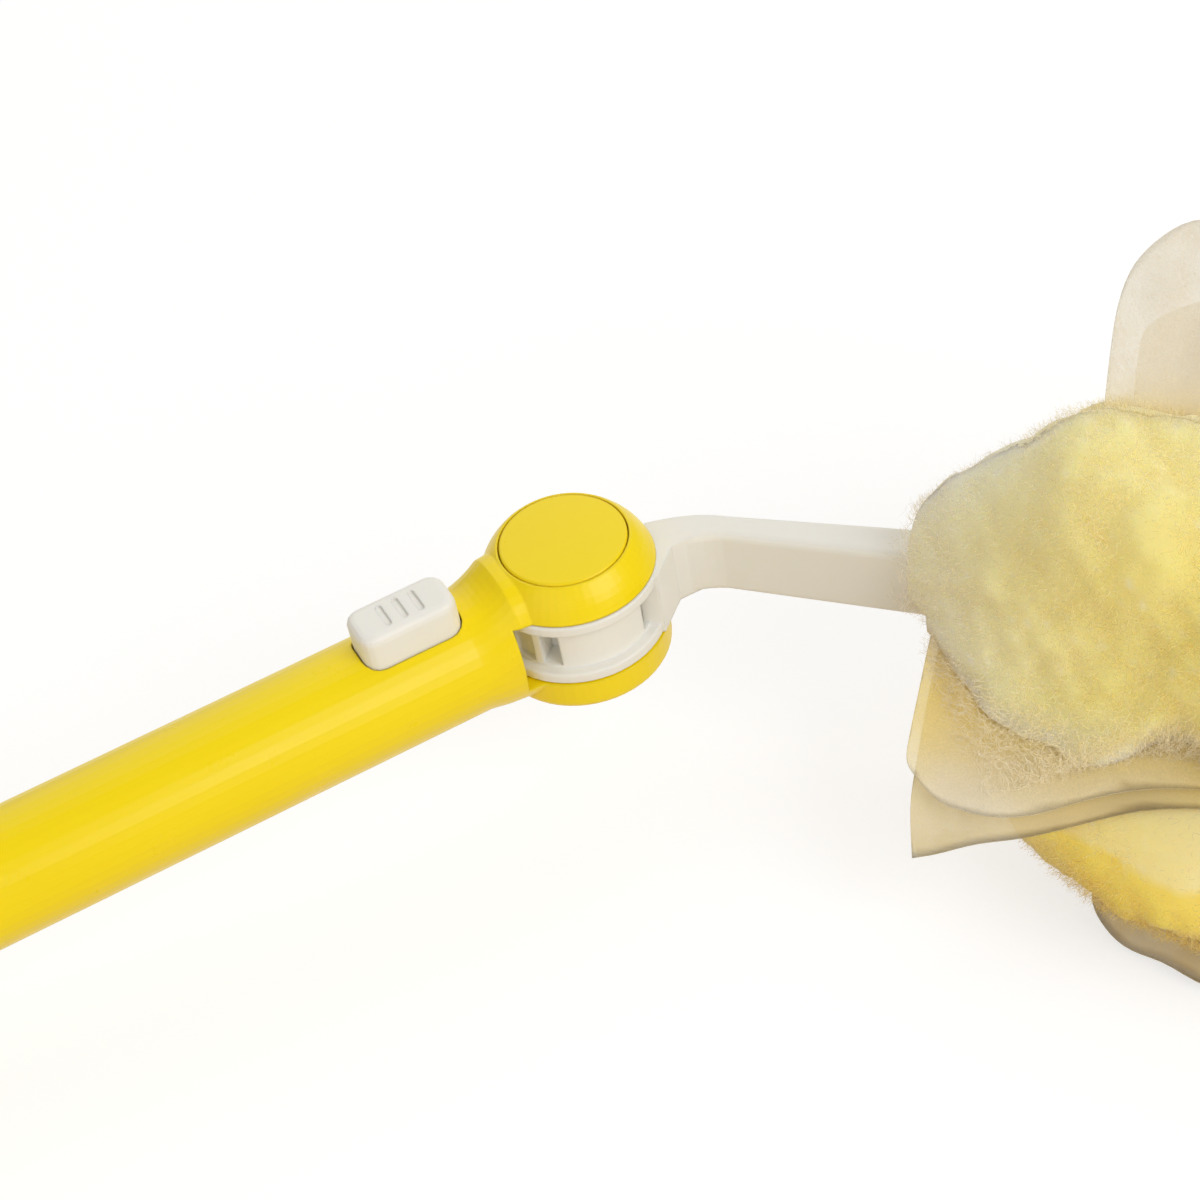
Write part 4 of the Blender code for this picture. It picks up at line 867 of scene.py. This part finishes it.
def ribbons(line, facing, half):
    # flat strands whose broad side looks outward
    along = unit(np.gradient(line, axis=1))
    across = unit(np.cross(along, facing))
    sides = np.stack([line - across * half, line + across * half], axis=2)
    count, steps = line.shape[:2]
    base = (np.arange(count) * steps * 2)[:, None] + (np.arange(steps - 1) * 2)[None]
    quads = np.stack([base, base + 1, base + 3, base + 2], axis=-1).reshape(-1, 4)
    return sides.reshape(-1, 3), quads


def growStrands(name, settings, look, seed):
    # loose strands over a bundle, from under its surface to just beyond it
    rng = np.random.default_rng(seed)
    count = settings["strands"]
    low, high = settings["from"], settings["to"]
    skirt = settings.get("skirt", 0.0)
    tries = count * look["triesPerStrand"]
    begin, stop = (end + past for end, past in zip(spanOf(settings), look["ends"]))
    x = rng.uniform(begin, stop, tries)
    share = rng.random(tries)
    onSheet = rng.random(tries) < skirt * look["onSheet"]
    share[onSheet] = 1 - look["sheetBand"] * share[onSheet] ** 1.5
    reach = reachAt(x, low + (high - low) * share, skirt)
    first, last = boundaryAngle(low, reach), boundaryAngle(high, reach)
    angle = first + (last - first) * share
    weight = reachAt(x, angle, skirt) * np.where(x < look["seenUntil"], look["seenDensity"], 1.0)
    pick = rng.choice(tries, count, replace=False, p=weight / weight.sum())
    x, angle = x[pick], angle[pick]
    place, out, tangentX, tangentA = surfaceFrame(x, angle, skirt)
    swirl = softNoise(place, look["flowSize"], look["flowSeed"]) * look["flowSwing"]
    swirl += rng.normal(size=count) * look["flowScatter"]
    flow = tangentX * np.cos(swirl)[:, None] + tangentA * np.sin(swirl)[:, None]
    beyond = rng.uniform(*look["beyond"], count)
    loose = rng.random(count) < look["flyaway"]
    beyond[loose] += rng.uniform(*look["uneven"], loose.sum()) * look["flyawayBeyond"]
    tip = place + out * beyond[:, None]
    thick = np.linalg.norm(place[:, 1:], axis=1)
    depth = np.minimum(rng.uniform(*look["under"], count), thick * look["underShare"])
    drift = np.minimum(rng.uniform(*look["drift"], count), thick * look["driftShare"])
    root = place - out * depth[:, None] - flow * drift[:, None]
    # Each strand leans to the nearest of some leading ones, which makes tufts
    leaders = rng.choice(count, max(1, count // look["strandsPerTuft"]), replace=False)
    nearest = np.empty(count, np.int64)
    for start in range(0, count, 2000):
        gaps = np.linalg.norm(place[start:start + 2000, None] - place[None, leaders], axis=2)
        nearest[start:start + 2000] = leaders[gaps.argmin(axis=1)]
    pull = (tip[nearest] - tip) * look["tuftPull"] * rng.uniform(*look["uneven"], count)[:, None]

    steps = look["points"]
    share = np.linspace(0, 1, steps)[None, :, None]
    lean = share ** look["lean"]
    line = root[:, None] + (tip - root)[:, None] * lean + pull[:, None] * share ** look["pullPower"]
    other = unit(np.cross(out, flow))
    turns = rng.uniform(*look["turns"], count)[:, None, None] * math.tau
    phase = rng.uniform(0, math.tau, count)[:, None, None]
    curl = rng.uniform(*look["curl"], count)[:, None, None]
    curl = curl * (look["rootCurl"] + (1 - look["rootCurl"]) * share)
    coil = turns * share + phase
    line += curl * (np.cos(coil) * other[:, None] + np.sin(coil) * out[:, None])
    # Strands stay on their own side of the sheets
    radius = np.linalg.norm(line[..., 1:], axis=2)
    turned = np.degrees(np.arctan2(line[..., 2], line[..., 1]))
    turned += np.round((angle[:, None] - turned) / 360) * 360
    if low in sheetAngles:
        turned = np.maximum(turned, wallAngle(low, radius, look["sideGap"]))
    if high in sheetAngles:
        turned = np.minimum(turned, wallAngle(high, radius, -look["sideGap"]))
    line[..., 1] = radius * np.cos(np.radians(turned))
    line[..., 2] = radius * np.sin(np.radians(turned))
    half = look["width"] / 2 * (1 - look["taper"] * share)
    half = half * np.where(loose, look["flyawayWidth"], 1.0)[:, None, None]
    facing = unit(out + rng.normal(size=(count, 3)) * look["sway"])[:, None]
    sides, quads = ribbons(line, facing, half)
    piece = newPiece(name + "Strands", onTable(fromRefill(sides)), quads)
    # loose strands are drawn paler: partly their cream wisps, partly painted light against their own shade
    cream = creamShare(place, settings["deep"]) + look["paler"]
    cream += rng.normal(size=count) * look["creamScatter"]
    cream = np.repeat(np.clip(cream, 0, 1), steps * 2)
    along = np.tile(np.repeat(share[0, :, 0], 2), count)
    setTone(piece.data, along, cream, settings["deep"])
    return piece


def dressBundle(name, settings, seed):
    core = buildCore(name, settings)
    strands = growStrands(name, settings, strandShape, seed)
    for piece, finish in ((core, packedFinish), (strands, finishes["tow_fibre"])):
        piece.data.materials.append(finish)
        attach(piece, "refill")
    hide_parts(*settings["nodes"])


for index, (name, settings) in enumerate(bundles.items()):
    dressBundle(name, settings, 100 + 10 * index)
print("tow:", len(bundles), "bundles")


# Non-woven sheets between the bundles: thin, slightly rippled where they come free
sheets = {
    # node: piece, how the free edge ripples and how far it bows round the refill, in metres
    "flap_near_outer": {"piece": "sheetNearOuter", "ripple": 0.0009, "bow": -0.0022, "longer": 0.004},
    # the inner and lower sheets take the darker tan copy, which is painted shade
    "flap_near_inner": {"piece": "sheetNearInner", "ripple": 0.0009, "bow": 0.0022, "finish": paintedShadeSheetFinish},
    "flap_near_low": {"piece": "sheetNearLow", "ripple": 0.0016, "finish": paintedShadeSheetFinish},
    "flap_far_low": {"piece": "sheetFarLow", "ripple": 0.0018, "finish": paintedShadeSheetFinish},
    "flap_far_upper": {"piece": "sheetFarUpper", "ripple": 0.0018},
    "flap_top": {"piece": "sheetTop", "ripple": 0.0014},
    "pocket_sheet_near": {"piece": "pocketNear", "ripple": 0.0},
    "pocket_sheet_far": {"piece": "pocketFar", "ripple": 0.0},
}
sheetEase = {
    "thinning": 0.0002,
    "freeFrom": 0.028,  # metres out from the refill's line where a sheet comes free
    "freeOver": 0.030,
    "freePower": 1.5,
    "swell": 0.020,
    "swellStretch": 0.35,  # how much less the swells change across the refill than along it
    "crumple": (0.008, 0.3),  # size of the small crumples, and their share
    "edgeSize": 0.008,
    "edgeStretch": 0.2,
    "edgeUneven": 0.0004,
    "longerFrom": 0.012,  # metres from the sheet's neck end
    "longerOver": 0.016,
}


def dressSheet(node, settings, seed):
    sheet = roundedCopy(node, settings["piece"])
    mesh = sheet.data
    normals = np.empty(len(mesh.vertices) * 3)
    mesh.vertices.foreach_get("normal", normals)
    places = inRefill(pointsOf(mesh) - normals.reshape(-1, 3) * sheetEase["thinning"])
    reach = np.linalg.norm(places[:, 1:], axis=1)
    radial = unit(places * [0, 1, 1])
    around = np.stack([np.zeros(len(radial)), -radial[:, 2], radial[:, 1]], axis=1)
    free = np.clip((reach - sheetEase["freeFrom"]) / sheetEase["freeOver"], 0, 1) ** sheetEase["freePower"]
    stretch = sheetEase["swellStretch"]
    size, share = sheetEase["crumple"]
    swell = softNoise(places * [1, stretch, stretch], sheetEase["swell"], seed)
    swell += share * softNoise(places, size, seed + 1)
    places += around * ((swell * settings["ripple"] + settings.get("bow", 0.0)) * free)[:, None]
    stretch = sheetEase["edgeStretch"]
    edge = softNoise(places * [1, stretch, stretch], sheetEase["edgeSize"], seed + 2)
    edge *= sheetEase["edgeUneven"]
    fromNeck = places[:, 0] - places[:, 0].min() - sheetEase["longerFrom"]
    longer = settings.get("longer", 0.0) * np.clip(fromNeck / sheetEase["longerOver"], 0, 1)
    places += radial * ((edge + longer) * free)[:, None]
    setPoints(mesh, onTable(fromRefill(places)))
    across = places[:, 2] if settings["piece"].startswith("pocket") else reach
    addLayer(mesh, "flatMetres", places[:, 0], across)
    mesh.materials.append(settings.get("finish", finishes["nonwoven"]))
    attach(sheet, "refill")
    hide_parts(node)


for index, (node, settings) in enumerate(sheets.items()):
    # the two near sheets share a seed, so they ripple together
    dressSheet(node, settings, 300 if "bow" in settings else 320 + 10 * index)
print("sheets:", len(sheets))


# Studio: a pale floor, a soft lamp and a weaker one in front, a large pale panel behind and a warm, dim room
studio = {
    "floorSize": 8.0,
    "lamps": {
        # the way to each lamp: along, left of and above the handle
        "softLamp": {"way": (0.33, -0.76, 0.56), "distance": 1.3, "size": 1.0,
                     "watts": 9.0, "colour": "#FAFCFF"},
        "fillLamp": {"way": (-0.72, -0.56, 0.41), "distance": 1.4, "size": 1.5,
                     "watts": 4.4, "colour": "#FFFFFF"},
        "backPanel": {"way": (0.35, 0.75, 0.55), "distance": 1.8, "size": 3.0,
                      "watts": 19.0, "colour": "#FFFFFF"},
    },
    "room": "#F8F2E6",
    "roomStrength": 0.42,
    "floorBounce": "#D2C09D",
    "floorShown": ((0.40, 0.40, 0.40, 1), 0.68),  # shade and glow of the paper as the camera sees it
    "floorFades": (0.5, 1.6),  # metres from the duster over which the paper turns white
}


def layStudio():
    mesh = bpy.data.meshes.new("floor")
    half = studio["floorSize"] / 2
    corners = [(-half, -half, 0), (half, -half, 0), (half, half, 0), (-half, half, 0)]
    mesh.from_pydata(corners, [], [(0, 1, 2, 3)])
    floor = newObject("floor", mesh)
    # Backdrop paper: matt, warm in what it throws back, and pale with a soft shadow where it is seen
    paper, tree, shader = newMaterial("paleBackdropPaper", {
        "Base Color": studio["floorBounce"], "Roughness": 0.9})
    rays = addNode(tree, "LightPath").outputs
    seen = addNode(tree, "Math", {"operation": "ADD", 0: rays["Is Camera Ray"], 1: rays["Is Glossy Ray"]})
    shown = addNode(tree, "Math", {
        "operation": "ADD", "use_clamp": True, 0: seen, 1: rays["Is Transmission Ray"]})
    shade, light = studio["floorShown"]
    pale = addNode(tree, "BsdfDiffuse", {"Color": shade})
    white = addNode(tree, "Emission", {"Color": [1, 1, 1, 1], "Strength": light})
    bright = addNode(tree, "AddShader", {0: pale, 1: white})
    place = addNode(tree, "TexCoord").outputs["Object"]
    away = addNode(tree, "VectorMath", {"operation": "LENGTH", 0: place}).outputs["Value"]
    near, far = studio["floorFades"]
    fade = addNode(tree, "MapRange", {0: away, 1: near, 2: far, 3: 0.0, 4: 1.0})
    edge = addNode(tree, "Emission", {"Color": [1, 1, 1, 1], "Strength": 1.0})
    faded = addNode(tree, "MixShader", {0: fade, 1: bright, 2: edge})
    both = addNode(tree, "MixShader", {0: shown, 1: shader, 2: faded})
    fill(tree, tree.nodes["Material Output"], {"Surface": both})
    mesh.materials.append(paper)

    for name, look in studio["lamps"].items():
        lamp = bpy.data.lights.new(name, "AREA")
        lamp.shape = "DISK"
        lamp.size = look["size"]
        lamp.energy = look["watts"]
        lamp.color = linear(look["colour"])[:3]
        stand = newObject(name, lamp)
        along, aside, above = look["way"]
        way = (handleAlong * along + handleLeft * aside + pinUp * above).normalized()
        stand.location = hinge + way * look["distance"]
        stand.rotation_mode = "QUATERNION"
        stand.rotation_quaternion = way.to_track_quat("Z", "Y")

    room = bpy.data.worlds.new("room")
    bpy.context.scene.world = room
    room.use_nodes = True
    tree = room.node_tree
    dim = fill(tree, tree.nodes["Background"],
               {"Color": studio["room"], "Strength": studio["roomStrength"]})
    rays = addNode(tree, "LightPath").outputs
    white = addNode(tree, "Background", {"Color": [1, 1, 1, 1], "Strength": 1.0})
    both = addNode(tree, "MixShader", {0: rays["Is Camera Ray"], 1: dim, 2: white})
    fill(tree, tree.nodes["World Output"], {"Surface": both})


layStudio()
bpy.context.scene.view_settings.view_transform = "Standard"
print("studio laid")
